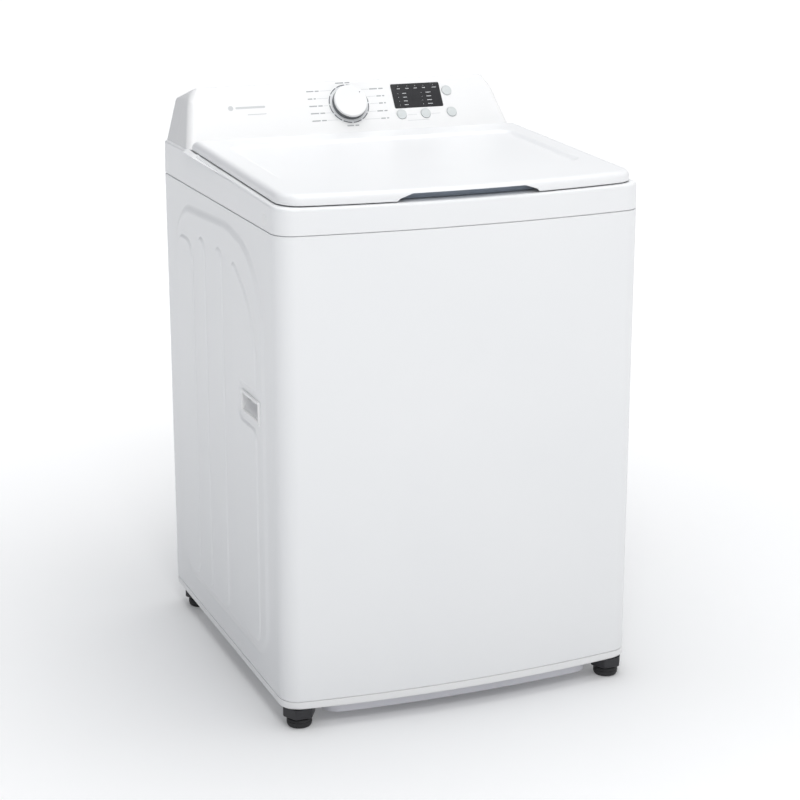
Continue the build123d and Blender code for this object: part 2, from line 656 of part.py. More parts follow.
def control_board():
    """Circuit board with the switches under the buttons."""
    board = plate(-60, 232, 24, 104, -BOARD_DEPTH - 1.6, -BOARD_DEPTH)
    for x, along in BUTTONS.values():
        board += plate(x - 3.5, x + 3.5, along - 3.5, along + 3.5, -BOARD_DEPTH, -10.4)
    x0, x1, s0, s1 = WINDOW
    return board + plate(x0 + 8, x1 - 8, s0 + 6, s1 - 6, -BOARD_DEPTH, -5)


# ---------------------------------------------------------------- tub group
def corner_spots():
    """X and Y of the four suspension rods."""
    return [(sx * ROD_X, TUB_Y + sy * ROD_REACH) for sx in (-1, 1) for sy in (-1, 1)]


def outer_tub():
    """Plastic tub with four ears that stand on the suspension springs."""
    tub = ring(TUB_RADIUS - TUB_WALL, TUB_RADIUS, TUB_BOTTOM, TUB_TOP)
    tub += ring(30, TUB_RADIUS - 1, TUB_BOTTOM, TUB_BOTTOM + 5)
    low, high = EAR_Z
    reach = math.hypot(ROD_X, ROD_REACH)
    for turn in (45, 135, 225, 315):
        arm = block(TUB_RADIUS - 2, reach + 22, -20, 20, low, high)
        arm -= Pos(reach, 0, low) * Cylinder(ROD_RADIUS + 3, 40, align=Align.CENTER)
        tub += Pos(0, TUB_Y, 0) * Rot(0, 0, turn) * arm
    return tub


def tub_ring():
    """Splash ring clipped on the tub's rim."""
    return turned([(240, TUB_TOP + 3), (TUB_RADIUS + 0.2, TUB_TOP + 3), (TUB_RADIUS + 0.2, TUB_TOP - 15),
                   (TUB_RADIUS + 3, TUB_TOP - 15), (TUB_RADIUS + 3, TUB_TOP + 6), (237, TUB_TOP + 6),
                   (237, TUB_TOP - 2), (240, TUB_TOP - 2)])


def gear_case():
    """Bearing housing and gearcase under the tub."""
    case = post(GEARCASE_RADIUS, 175, TUB_BOTTOM) - post(26, 174, TUB_BOTTOM + 1)
    case -= ring(32, 54, 190, TUB_BOTTOM - 12)
    return case


def tub_bearings():
    """Two ball bearings for the spin tube, drawn as plain rings."""
    lower = ring(TUBE_RADIUS + RUNNING, 25.9, 178, 192)
    return lower + ring(TUBE_RADIUS + RUNNING, 25.9, 284, 298)


def motor_bracket():
    """Steel plate that carries the motor under the tub."""
    bracket = block(-90, 90, TUB_Y - 90, MOTOR_Y + 85, TUB_BOTTOM - 6, TUB_BOTTOM)
    return bracket - post(GEARCASE_RADIUS + 0.3, TUB_BOTTOM - 10, TUB_BOTTOM + 2)


def motor_body():
    """Induction motor with its end caps and cooling ribs."""
    top = TUB_BOTTOM - 6
    body = post(MOTOR_RADIUS, 190, top - 12, 0, MOTOR_Y) + post(50, 172, top, 0, MOTOR_Y)
    for turn in range(12):
        fin = block(MOTOR_RADIUS - 2, MOTOR_RADIUS + 4, -2, 2, 200, top - 20)
        body += Pos(0, MOTOR_Y, 0) * Rot(0, 0, 30 * turn) * fin
    return body - post(MOTOR_SHAFT + RUNNING, 170, 282, 0, MOTOR_Y)


def motor_pulley():
    """Motor shaft and its small grooved pulley."""
    low, high = PULLEY_Z
    shaft = post(MOTOR_SHAFT, low - 2, 280, 0, MOTOR_Y)
    return shaft + grooved(MOTOR_PULLEY_RADIUS, 0, MOTOR_Y)


def grooved(radius, x, y):
    """Pulley rim with a groove for the belt."""
    low, high = PULLEY_Z
    points = [(0, low), (radius + 4, low), (radius + 4, low + 3), (radius, low + 5), (radius, high - 5),
              (radius + 4, high - 3), (radius + 4, high), (0, high)]
    return turned(points, x, y)


def drive_pulley():
    """Large pulley on the wash shaft, with five lightening holes."""
    low, high = PULLEY_Z
    wheel = grooved(PULLEY_RADIUS, 0, TUB_Y)
    wheel -= ring(30, PULLEY_RADIUS - 10, low + 12, high + 1)
    wheel -= post(SHAFT_RADIUS, low - 1, high + 1)
    for turn in range(5):
        angle = math.radians(72 * turn)
        wheel -= post(15, low - 1, high, 52 * math.cos(angle), TUB_Y + 52 * math.sin(angle))
    return wheel


def belt_loop(extra):
    """Outline round both pulleys."""
    big = Pos(0, TUB_Y) * Circle(PULLEY_RADIUS + extra)
    small = Pos(0, MOTOR_Y) * Circle(MOTOR_PULLEY_RADIUS + extra)
    return make_hull((big + small).edges())


def drive_belt():
    """Belt from the motor to the large pulley."""
    low, high = PULLEY_Z
    return between(belt_loop(BELT_GAP + BELT_THICK) - belt_loop(BELT_GAP), low + 7, high - 7)


def drain_pump():
    """Drain pump housing with its outlet stub."""
    x, y = PUMP_AT
    body = post(38, 238, TUB_BOTTOM, x, y) + post(26, 205, 240, x, y)
    body -= post(32, 250, 292, x, y)
    stub = lying(12, x, 270, y - 75, y - 30) - lying(9, x, 270, y - 76, y - 30)
    body += stub
    return body - lying(9, x, 270, y - 60, y)


def pump_rotor():
    """Bladed rotor inside the drain pump."""
    x, y = PUMP_AT
    rotor = post(6, 252, 288, x, y) + post(24, 252, 255, x, y)
    for turn in range(4):
        blade = block(2, 24, -1.5, 1.5, 252, 285)
        rotor += Pos(x, y, 0) * Rot(0, 0, 90 * turn) * blade
    return rotor


# ---------------------------------------------------------------- basket and wash drive
def basket_wall():
    """Rolled stainless basket wall."""
    return ring(BASKET_RADIUS - BASKET_SHEET, BASKET_RADIUS, BASKET_BOTTOM, BASKET_TOP)


def basket_base():
    """Moulded basket floor that steps down to the hub."""
    outer = BASKET_RADIUS - BASKET_SHEET - 0.1
    return turned([(TUBE_RADIUS + 12, 316), (200, 316), (outer, 330), (outer, 352), (outer - 3, 352),
                   (outer - 12, 336), (195, 322), (TUBE_RADIUS + 12, 322)])


def balance_ring():
    """Liquid-filled balance ring on the basket's rim."""
    lip = BASKET_RADIUS - BASKET_SHEET - 0.1
    return turned([(BALANCE_INNER + 8, 790), (lip, 790), (lip, BASKET_TOP + 0.2), (BALANCE_OUTER, BASKET_TOP + 0.2),
                   (BALANCE_OUTER, BALANCE_TOP - 6), (BALANCE_OUTER - 6, BALANCE_TOP),
                   (BALANCE_INNER + 6, BALANCE_TOP), (BALANCE_INNER, BALANCE_TOP - 8), (BALANCE_INNER, 800)])


def spin_tube():
    """Hollow spin shaft with the flange that carries the basket."""
    tube = ring(SHAFT_RADIUS + RUNNING, TUBE_RADIUS, 160, 326)
    return tube + ring(TUBE_RADIUS - 1, 29.9, 316, 326)


def impeller():
    """Low wash plate with three swept fins."""
    disc = turned([(SHAFT_RADIUS, 344), (IMPELLER_RADIUS, 344), (IMPELLER_RADIUS, 350), (120, 354), (40, 372),
                   (SHAFT_RADIUS, 372)])
    for turn in range(6):
        fin = loft([Pos(100, 0, 346) * Rectangle(130, 20), Pos(92, 0, 368) * Rectangle(96, 6)])
        disc += Pos(0, TUB_Y, 0) * Rot(0, 0, 60 * turn) * fin
    return disc - post(SHAFT_RADIUS, 340, 380)


def impeller_cap():
    """Cap over the impeller's screw."""
    return turned([(0, 372.2), (34, 372.2), (32, 378), (22, 382), (0, 383)])


def wash_shaft():
    """Solid shaft from the drive pulley to the impeller."""
    return post(SHAFT_RADIUS, 116, 371)


# ---------------------------------------------------------------- suspension
def suspension_rods():
    """Four rods with a ball head and a spring seat."""
    rods = None
    for x, y in corner_spots():
        rod = post(ROD_RADIUS, ROD_BOTTOM, ROD_TOP, x, y) + Pos(x, y, ROD_TOP) * Sphere(9)
        rod += post(SPRING_RADIUS + 1, ROD_BOTTOM, SEAT_TOP, x, y)
        rods = rod if rods is None else rods + rod
    return rods


def suspension_springs():
    """Four compression springs under the tub's ears, as plain tubes."""
    springs = None
    for x, y in corner_spots():
        spring = ring(SPRING_RADIUS - 4, SPRING_RADIUS, SEAT_TOP + 0.1, EAR_Z[0] - 0.1, x, y)
        springs = spring if springs is None else springs + spring
    return springs


def rod_cups():
    """Corner brackets of the cabinet, with the holes the rods hang through."""
    low, high = CUP_Z
    brackets = None
    for x, y in corner_spots():
        sx = 1 if x > 0 else -1
        wall = HALF_WIDTH - SHEET - 0.3
        shelf = block(min(sx * 240, sx * wall), max(sx * 240, sx * wall), y - 24, y + 24, low, high)
        bracket = shelf - post(ROD_RADIUS + 0.2, low - 1, high + 1, x, y)
        bracket -= Pos(x, y, ROD_TOP) * Sphere(9.2)
        brackets = bracket if brackets is None else brackets + bracket
    return brackets


# ---------------------------------------------------------------- write every node
def nodes():
    """Every node of the assembly by name."""
    made = {
        "cabinet_wrap": cabinet_wrap(), "rear_panel": rear_panel(), "base_frame": base_frame(),
        "base_pan": base_pan(), "top_cover": top_cover(), "side_plugs": side_plugs(),
        "console_fascia": console_fascia(), "console_rear": console_rear(),
        "display_window": display_window(), "knob_ring": knob_ring(), "control_board": control_board(),
        "selector_encoder": selector_encoder(), "inlet_valve": inlet_valve(), "fill_flume": fill_flume(),
        "dispenser_cup": dispenser_cup(), "drain_outlet": drain_outlet(), "cord_gland": cord_gland(),
        "lid_lock_housing": lid_lock_housing(), "hinge_brackets": hinge_brackets(),
        "suspension_rods": suspension_rods(), "rod_cups": rod_cups(),
        "suspension_springs": suspension_springs(), "cabinet_screws": cabinet_screws(),
        "foot_collars": foot_collars(), "handle_cup_left": handle_cup(-1), "handle_cup_right": handle_cup(1),
        "lid_outer": lid_outer(), "lid_liner": lid_liner(), "lid_hinge_pins": lid_hinge_pins(),
        "lid_bumpers": lid_bumpers(), "lid_strike": lid_strike(), "lock_bolt": lock_bolt(),
        "outer_tub": outer_tub(), "tub_ring": tub_ring(), "gear_case": gear_case(),
        "tub_bearings": tub_bearings(), "motor_bracket": motor_bracket(), "motor_body": motor_body(),
        "drive_belt": drive_belt(), "drain_pump": drain_pump(), "pump_rotor": pump_rotor(),
        "basket_wall": basket_wall(), "basket_base": basket_base(), "balance_ring": balance_ring(),
        "spin_tube": spin_tube(), "impeller": impeller(), "impeller_cap": impeller_cap(),
        "wash_shaft": wash_shaft(), "drive_pulley": drive_pulley(), "motor_pulley": motor_pulley(),
        "selector_knob": selector_knob(), "knob_skirt": knob_skirt(),
    }
    for name, (x, along) in BUTTONS.items():
        made[name] = button(x, along)
    for side, x in (("left", -FOOT_X), ("right", FOOT_X)):
        for end, y in zip(("front", "back"), FOOT_YS):
            made[f"foot_{end}_{side}"] = foot(x, y)
    return made


os.makedirs("parts", exist_ok=True)
for name, shape in nodes().items():
    export_step(shape, f"parts/{name}.step")
    print(name, round(shape.volume))
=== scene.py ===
# %% [markdown]
# # A top-loading washing machine
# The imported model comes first, as a fixed frame of named nodes and bodies in metres: origin on the
# floor under the middle of the machine, front towards -Y, up along +Z. Everything built below either
# gives one of those nodes a better finish or stands in for it with a finer mesh.

# %% frame
import json
import math

import bmesh
import bpy
from mathutils import Matrix, Vector


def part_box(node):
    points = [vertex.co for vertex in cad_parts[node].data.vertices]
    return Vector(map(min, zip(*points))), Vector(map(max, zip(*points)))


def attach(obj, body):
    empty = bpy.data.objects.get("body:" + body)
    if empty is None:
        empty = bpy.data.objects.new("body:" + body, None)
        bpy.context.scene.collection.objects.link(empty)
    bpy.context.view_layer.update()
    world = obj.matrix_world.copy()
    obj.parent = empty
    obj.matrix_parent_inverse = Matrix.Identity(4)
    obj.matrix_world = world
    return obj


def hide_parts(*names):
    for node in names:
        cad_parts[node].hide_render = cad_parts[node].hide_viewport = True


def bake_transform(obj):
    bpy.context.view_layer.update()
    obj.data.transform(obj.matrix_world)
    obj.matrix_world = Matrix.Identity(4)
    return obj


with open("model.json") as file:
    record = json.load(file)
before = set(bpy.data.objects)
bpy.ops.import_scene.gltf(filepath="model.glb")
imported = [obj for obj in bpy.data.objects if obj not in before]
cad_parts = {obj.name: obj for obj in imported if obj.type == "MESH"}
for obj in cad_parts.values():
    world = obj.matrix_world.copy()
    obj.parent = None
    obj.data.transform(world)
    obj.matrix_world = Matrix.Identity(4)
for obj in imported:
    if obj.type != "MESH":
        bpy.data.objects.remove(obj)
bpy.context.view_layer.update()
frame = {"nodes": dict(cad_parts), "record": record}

# %% [markdown]
# ## Driving sizes
# The cabinet is one bowed plan drawn at several heights, so a handful of sizes settles it: the half
# width, the middle of the bow, the line where the bow would meet the side walls, and the corner radius.
# What the frame already knows is read from it, and only what it cannot tell is written here.

# %% driving sizes
COVER_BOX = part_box("top_cover")
WRAP_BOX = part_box("cabinet_wrap")
BAND_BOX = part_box("base_frame")
HALF_WIDTH = COVER_BOX[1].x
FRONT_Y = COVER_BOX[0].y
BACK_Y = COVER_BOX[1].y
BOW = 0.025  # how far the middle of the front stands out from its corners
CORNER_RADIUS = 0.038
SHEET = 0.0012
COVER_BOTTOM = WRAP_BOX[1].z + 0.001
DECK_Z = COVER_BOX[1].z
DECK_FRONT_Z = DECK_Z - 0.019
DECK_RISE_Y = 0.197  # the deck slopes up to here and is level behind
TILT = math.atan2(DECK_Z - DECK_FRONT_Z, DECK_RISE_Y - FRONT_Y)
print("half width", HALF_WIDTH, "front", FRONT_Y, "deck", DECK_Z, "tilt", round(math.degrees(TILT), 2))

# %% [markdown]
# ## Camera
# It stands to the front left and a little above the console, a long way back on a long lens, so the
# uprights stay nearly parallel. It has no shift, so every other view that moves it still frames the
# whole machine.

# %% camera
EYE = Vector((-1.3946, -3.5098, 1.5796))
YAW = 0.3817
PITCH = 0.2812
camera = bpy.data.objects.new("camera", bpy.data.cameras.new("camera"))
bpy.context.scene.collection.objects.link(camera)
camera.data.lens = 91.92
camera.data.sensor_width = 36.0
camera.location = EYE
camera.rotation_euler = (math.pi / 2 - PITCH, 0.0, -YAW)
bpy.context.scene.camera = camera
print("camera at", tuple(EYE), "lens", camera.data.lens)

# %% [markdown]
# ## Light and floor
# White goods are lit as if inside a white tent. The world is that tent: bright nearly all round, and dark
# low down on the left, so the left side of the cabinet stays a cooler grey than its front. One panel
# high in front lights the bowed front, and one wide panel overhead keeps the lid and console near white.

# %% studio
def panel(name, place, aim, size, power):
    """Square area light at a place, turned towards a point."""
    lamp = bpy.data.lights.new(name, "AREA")
    lamp.size = size
    lamp.energy = power
    holder = bpy.data.objects.new(name, lamp)
    holder.location = place
    holder.rotation_euler = (Vector(aim) - Vector(place)).to_track_quat("-Z", "Y").to_euler()
    bpy.context.scene.collection.objects.link(holder)


def tent(name, dark, bright, shade_from):
    """World that goes from bright to dark towards one direction."""
    world = bpy.data.worlds.new(name)
    world.use_nodes = True
    tree = world.node_tree
    place = tree.nodes.new("ShaderNodeTexCoord")
    facing = tree.nodes.new("ShaderNodeVectorMath")
    facing.operation = "DOT_PRODUCT"
    facing.inputs[1].default_value = Vector(shade_from).normalized()
    stops = tree.nodes.new("ShaderNodeValToRGB")
    stops.color_ramp.elements[0].position = 0.0
    stops.color_ramp.elements[0].color = bright
    stops.color_ramp.elements[1].position = 0.6
    stops.color_ramp.elements[1].color = dark
    tree.links.new(place.outputs["Generated"], facing.inputs[0])
    tree.links.new(facing.outputs["Value"], stops.inputs["Fac"])
    tree.links.new(stops.outputs["Color"], tree.nodes["Background"].inputs["Color"])
    bpy.context.scene.world = world


tent("white_tent", (0.07, 0.08, 0.105, 1.0), (0.575, 0.58, 0.59, 1.0), (-0.88, 0.35, -0.3))
panel("key_panel", (-0.9, -3.0, 3.6), (0.0, -0.3, 0.6), 1.0, 33.0)
panel("top_panel", (0.1, -0.2, 3.4), (0.0, 0.0, 0.9), 2.4, 43.0)
bpy.context.scene.view_settings.view_transform = "Standard"

# %% [markdown]
# ## Finishes
# A finish is a small node network that ends in one Principled shader. Arithmetic reads best as
# arithmetic, so a socket is wrapped in a class whose + and * operators add Math nodes; every other node
# comes from one method that takes its type, settings and inputs.

# %% shader helpers
class Amount:
    """One number that changes over a surface; sums on it add Math nodes."""

    def __init__(self, finish, socket):
        self.finish = finish
        self.socket = socket

    def maths(self, operation, first, second):
        """One Math node."""
        return self.finish.node("ShaderNodeMath", {"operation": operation}, {0: first, 1: second})

    def __add__(self, other):
        return self.maths("ADD", self, other)

    def __radd__(self, other):
        return self.maths("ADD", other, self)

    def __mul__(self, other):
        return self.maths("MULTIPLY", self, other)

    def __rmul__(self, other):
        return self.maths("MULTIPLY", other, self)


class Finish:
    """One procedural material, measured in metres along the machine's own axes."""

    def __init__(self, name, **constants):
        self.material = bpy.data.materials.new(name)
        self.material.use_nodes = True
        self.tree = self.material.node_tree
        self.shader = self.tree.nodes["Principled BSDF"]
        for socket, value in constants.items():
            self.shader.inputs[socket.replace("_", " ")].default_value = value
        self.place = self.node("ShaderNodeTexCoord", {}, {}, "Object")

    def node(self, kind, settings, inputs, output=0):
        """Any node: its settings are set first, then values or links go into its sockets."""
        made = self.tree.nodes.new(kind)
        for name, value in settings.items():
            if name == "stops":
                self.set_stops(made.color_ramp, value)
            else:
                setattr(made, name, value)
        for key, value in inputs.items():
            if isinstance(value, Amount):
                self.tree.links.new(value.socket, made.inputs[key])
            else:
                made.inputs[key].default_value = value
        return Amount(self, made.outputs[output])

    def set_stops(self, ramp, stops):
        """Colour stops of a ramp, as (position, colour) pairs."""
        while len(ramp.elements) < len(stops):
            ramp.elements.new(1.0)
        for element, (position, colour) in zip(ramp.elements, stops):
            element.position = position
            element.color = colour

    def feed(self, socket, value):
        """Links a varying value into one of the shader's sockets."""
        self.tree.links.new(value.socket, self.shader.inputs[socket])

    def stretched(self, x, y, z):
        """The place, scaled differently along each axis, for streaks."""
        inputs = {0: self.place, 1: (x, y, z)}
        return self.node("ShaderNodeVectorMath", {"operation": "MULTIPLY"}, inputs)

    def noise(self, scale, detail=2.0, place=None):
        """Soft random patches from 0 to 1; scale is in patches per metre."""
        inputs = {"Vector": place or self.place, "Scale": scale, "Detail": detail}
        return self.node("ShaderNodeTexNoise", {}, inputs, "Fac")

    def cells(self, scale, output="Distance"):
        """Random crystals; the distance grows from each one's middle."""
        return self.node("ShaderNodeTexVoronoi", {}, {"Vector": self.place, "Scale": scale}, output)

    def ramp(self, amount, low, high):
        """0 below low, 1 above high, and straight between."""
        inputs = {"Value": amount, "From Min": low, "From Max": high}
        return self.node("ShaderNodeMapRange", {"clamp": True}, inputs)

    def blend(self, amount, first, second):
        """Colour that goes from first to second as amount goes from 0 to 1."""
        inputs = {0: amount, 6: rgba(first), 7: rgba(second)}
        return self.node("ShaderNodeMix", {"data_type": "RGBA"}, inputs, 2)

    def relief(self, height, depth, strength=1.0):
        """Raises the surface by height (0 to 1) times depth, in metres."""
        inputs = {"Height": height, "Distance": depth, "Strength": strength}
        self.feed("Normal", self.node("ShaderNodeBump", {}, inputs, "Normal"))


def rgba(colour):
    """A colour with full alpha, unless it is a linked one already."""
    return colour if isinstance(colour, Amount) else (*colour, 1.0)


# %% [markdown]
# ## White enamel and white plastic
# The sheet parts are sprayed enamel: very even, glossy, with the faint orange peel that breaks up a
# reflection. The mouldings are gloss ABS, a touch warmer and smoother. Both keep their colour change
# very small, because on white goods any stronger variation reads as dirt.

# %% whites
def white_enamel():
    """Sprayed gloss enamel with orange peel."""
    paint = Finish("white_enamel", Coat_Weight=0.12, Coat_Roughness=0.2, Specular_IOR_Level=0.45)
    clouds = paint.noise(3.5, 3.0)
    peel = paint.noise(260.0, 2.0)
    paint.feed("Base Color", paint.blend(clouds, (0.83, 0.84, 0.85), (0.87, 0.875, 0.88)))
    paint.feed("Roughness", 0.33 + clouds * 0.08 + peel * 0.03)
    paint.relief(peel, 0.00002, 0.35)
    return paint.material


def white_plastic():
    """Gloss white moulding with very fine moulding texture."""
    abs_white = Finish("white_plastic", Coat_Weight=0.15, Coat_Roughness=0.12, Specular_IOR_Level=0.45)
    flow = abs_white.noise(1.0, 3.0, abs_white.stretched(4.0, 14.0, 14.0))
    grain = abs_white.noise(900.0, 2.0)
    abs_white.feed("Base Color", abs_white.blend(flow, (0.83, 0.832, 0.832), (0.86, 0.862, 0.862)))
    abs_white.feed("Roughness", 0.28 + flow * 0.07 + grain * 0.05)
    abs_white.relief(grain, 0.00001, 0.25)
    return abs_white.material


# %% [markdown]
# ## Metals
# Galvanised steel is covered in flat crystals of different brightness, which a Voronoi pattern gives
# at once. Stainless sheet and turned steel are brushed, so their noise is stretched along the brushing.
# Cast aluminium is rough and matt with darker pits.

# %% metals
def galvanised():
    """Zinc-coated sheet with its spangle."""
    zinc = Finish("galvanised", Metallic=1.0)
    crystals = zinc.cells(130.0, "Color")
    level = zinc.node("ShaderNodeSeparateColor", {}, {0: crystals}, "Red")
    film = zinc.noise(6.0, 4.0)
    zinc.feed("Base Color", zinc.blend(level, (0.56, 0.58, 0.60), (0.65, 0.66, 0.69)))
    zinc.feed("Roughness", 0.34 + level * 0.14 + film * 0.08)
    zinc.relief(level, 0.00003, 0.3)
    return zinc.material


def brushed(name, dark, light, roughness, streaks):
    """Brushed metal; streaks is how tightly the brushing repeats along each axis."""
    metal = Finish(name, Metallic=1.0)
    lines = metal.noise(1.0, 3.0, metal.stretched(*streaks))
    film = metal.noise(14.0, 2.0)
    metal.feed("Base Color", metal.blend(lines, dark, light))
    metal.feed("Roughness", roughness + lines * 0.1 + film * 0.06)
    metal.relief(lines, 0.00002, 0.25)
    return metal.material


def cast_aluminium():
    """Die-cast housing with a sandy skin."""
    cast = Finish("cast_aluminium", Metallic=0.9)
    sand = cast.noise(700.0, 4.0)
    stain = cast.noise(22.0, 3.0)
    cast.feed("Base Color", cast.blend(stain, (0.44, 0.45, 0.46), (0.60, 0.61, 0.62)))
    cast.feed("Roughness", 0.42 + sand * 0.2)
    cast.relief(sand, 0.00012, 0.5)
    return cast.material


# %% [markdown]
# ## Plain plastics and rubber
# The hidden mouldings, the feet and the prints all share one recipe: a base colour that drifts a
# little, a roughness that follows fine grain, and that grain as relief. Only the numbers differ, so it
# is one function with a table of finishes.

# %% plastics
def moulded(name, dark, light, roughness, grain=600.0, depth=0.00003, **constants):
    """Moulded plastic, rubber or print: two close colours, fine grain and matching roughness."""
    stuff = Finish(name, **constants)
    drift = stuff.noise(18.0, 3.0)
    fine = stuff.noise(grain, 3.0)
    stuff.feed("Base Color", stuff.blend(drift, dark, light))
    stuff.feed("Roughness", roughness + fine * 0.12 + drift * 0.05)
    stuff.relief(fine, depth, 0.4)
    return stuff.material


def circuit_board():
    """Green lacquer over copper tracks."""
    board = Finish("board_green", Coat_Weight=0.3)
    tracks = board.ramp(board.cells(160.0), 0.30, 0.34)
    board.feed("Base Color", board.blend(tracks, (0.02, 0.20, 0.09), (0.01, 0.12, 0.06)))
    board.feed("Roughness", 0.3 + board.noise(300.0) * 0.15)
    board.relief(tracks, 0.00005, 0.4)
    return board.material


MATTE_RUBBER = (0.50, 400.0, 0.00008)  # roughness, grains per metre, depth of the grain
INK = (900.0, 0.00001)  # grains per metre, depth of the grain
MATERIALS = {
    "white_enamel": white_enamel(),
    "white_plastic": white_plastic(),
    "galvanised": galvanised(),
    "stainless": brushed("stainless", (0.58, 0.59, 0.60), (0.72, 0.73, 0.74), 0.16, (30.0, 30.0, 900.0)),
    "steel": brushed("steel", (0.46, 0.47, 0.49), (0.62, 0.63, 0.65), 0.22, (200.0, 200.0, 900.0)),
    "silver_trim": brushed("silver_trim", (0.16, 0.17, 0.18), (0.24, 0.25, 0.26), 0.10,
                           (60.0, 500.0, 500.0)),
    "cast_aluminium": cast_aluminium(),
    "board_green": circuit_board(),
    "black_plastic": moulded("black_plastic", (0.012, 0.012, 0.015), (0.022, 0.022, 0.026), 0.28),
    "black_rubber": moulded("black_rubber", (0.010, 0.010, 0.011), (0.020, 0.020, 0.021), *MATTE_RUBBER),
    "grey_plastic": moulded("grey_plastic", (0.36, 0.38, 0.41), (0.44, 0.46, 0.49), 0.42, 350.0, 0.00006),
    "light_plastic": moulded("light_plastic", (0.66, 0.68, 0.70), (0.74, 0.75, 0.77), 0.30),
    "display_black": moulded("display_black", (0.006, 0.006, 0.008), (0.012, 0.012, 0.015), 0.05, 80.0,
                             0.000005, Coat_Weight=0.6, Coat_Roughness=0.03),
    "button_grey": moulded("button_grey", (0.60, 0.63, 0.63), (0.66, 0.69, 0.69), 0.24, *INK),
    "pan_grey": moulded("pan_grey", (0.56, 0.56, 0.60), (0.62, 0.62, 0.66), 0.38, 500.0),
    # slate: painted shade, a dark grey that stands for the shade inside the lid's finger pocket
    "slate": moulded("slate", (0.27, 0.31, 0.37), (0.33, 0.37, 0.43), 0.34, 500.0),
    # dial_grey: a little darker than white_plastic, painted shade round the knob
    "dial_grey": moulded("dial_grey", (0.72, 0.73, 0.75), (0.78, 0.79, 0.80), 0.22, *INK),
    "print_grey": moulded("print_grey", (0.34, 0.35, 0.36), (0.42, 0.43, 0.44), 0.40, *INK),
    "print_pale": moulded("print_pale", (0.56, 0.57, 0.58), (0.62, 0.63, 0.64), 0.40, *INK),
    "print_dark": moulded("print_dark", (0.10, 0.11, 0.12), (0.14, 0.15, 0.16), 0.30, *INK),
    "print_white": moulded("print_white", (0.52, 0.53, 0.54), (0.60, 0.61, 0.62), 0.40, *INK),
}
print("finishes", len(MATERIALS))

# %% [markdown]
# ## Mesh helpers
# Almost every moulding here is a stack of rings: the same outline drawn a little smaller and a little
# higher each time, which gives true rounded edges with few faces. `rounded` and `bowed` draw an outline
# so that every inset of it has the same number of points. `swell` and `round_over` say how far each
# ring moves in and up.

# %% outlines
def square_to(direction):
    """A flat direction turned a quarter left."""
    return Vector((-direction.y, direction.x))


def oblong(box, radius):
    """Four rounded corners of a low x, high x, low y, high y box."""
    x0, x1, y0, y1 = box
    return [(x0, y0, radius), (x1, y0, radius), (x1, y1, radius), (x0, y1, radius)]


def rounded(points, inset=0.0, steps=6):
    """Closed outline, anticlockwise, of (u, v, radius) corners, drawn inward by inset."""
    outline = []
    for index, (u, v, radius) in enumerate(points):
        here = Vector((u, v))
        arriving = (here - Vector(points[index - 1][:2])).normalized()
        leaving = (Vector(points[(index + 1) % len(points)][:2]) - here).normalized()
        bend = math.atan2(arriving.cross(leaving), arriving.dot(leaving))
        if radius <= 0:
            mitre = (square_to(arriving) + square_to(leaving)).normalized()
            outline.append(here + mitre * inset / math.cos(bend / 2))
            continue
        hand = math.copysign(1.0, bend)
        start = here - arriving * radius * math.tan(abs(bend) / 2)
        centre = start + square_to(arriving) * radius * hand
        for step in range(steps + 1):
            spoke = Matrix.Rotation(bend * step / steps, 2) @ square_to(arriving) * -hand
            outline.append(centre + spoke * (radius - hand * inset))
    return [tuple(point) for point in outline]


def arc(centre, radius, start, end, steps):
    """Points of an arc between two angles, both ends included."""
    angles = [start + (end - start) * step / steps for step in range(steps + 1)]
    return [(centre[0] + radius * math.cos(a), centre[1] + radius * math.sin(a)) for a in angles]


def bowed(half, corner, front, back, radius, rear=0.003, marks=()):
    """Plan with a bowed front, anticlockwise from the left side's front end.

    Corner is where the bow would meet the side walls, and marks are extra points on both sides.
    """
    sag = corner - front
    bow = (half ** 2 + sag ** 2) / (2 * sag)
    middle = front + bow
    inner_x = half - radius
    inner_y = middle - math.sqrt((bow - radius) ** 2 - inner_x ** 2)
    lean = math.atan2(inner_x, middle - inner_y)
    left = arc((-inner_x, inner_y), radius, math.pi, 1.5 * math.pi - lean, 10)
    swing = arc((0.0, middle), bow, 1.5 * math.pi - lean, 1.5 * math.pi + lean, 28)
    right = arc((inner_x, inner_y), radius, 1.5 * math.pi + lean, 2 * math.pi, 10)
    rear_right = arc((half - rear, back - rear), rear, 0.0, math.pi / 2, 4)
    rear_left = arc((rear - half, back - rear), rear, math.pi / 2, math.pi, 4)
    up = [(half, y) for y in marks]
    down = [(-half, y) for y in reversed(marks)]
    return left + swing[1:-1] + right + up + rear_right + rear_left + down


def swell(width, height, steps=6):
    """(inset, level) pairs of a soft step, flat at both ends."""
    shares = [step / steps for step in range(steps + 1)]
    return [(width * t, height * t * t * (3 - 2 * t)) for t in shares]


def round_over(radius, inset=0.0, drop=0.0, steps=6):
    """(inset, drop) pairs of a quarter round, from a wall up onto a top face."""
    turns = [math.pi / 2 * step / steps for step in range(steps + 1)]
    return [(inset + radius * (1 - math.cos(a)), drop + radius * (1 - math.sin(a))) for a in turns]


print("a rounded square has", len(rounded(oblong((0, 4, 0, 4), 1))), "points")

# %% [markdown]
# `Skin` holds a mesh while it grows. Rings of vertices are joined by bands of quads, a flat ring is
# capped with one face, and a flat field with holes in it is filled between its loops.

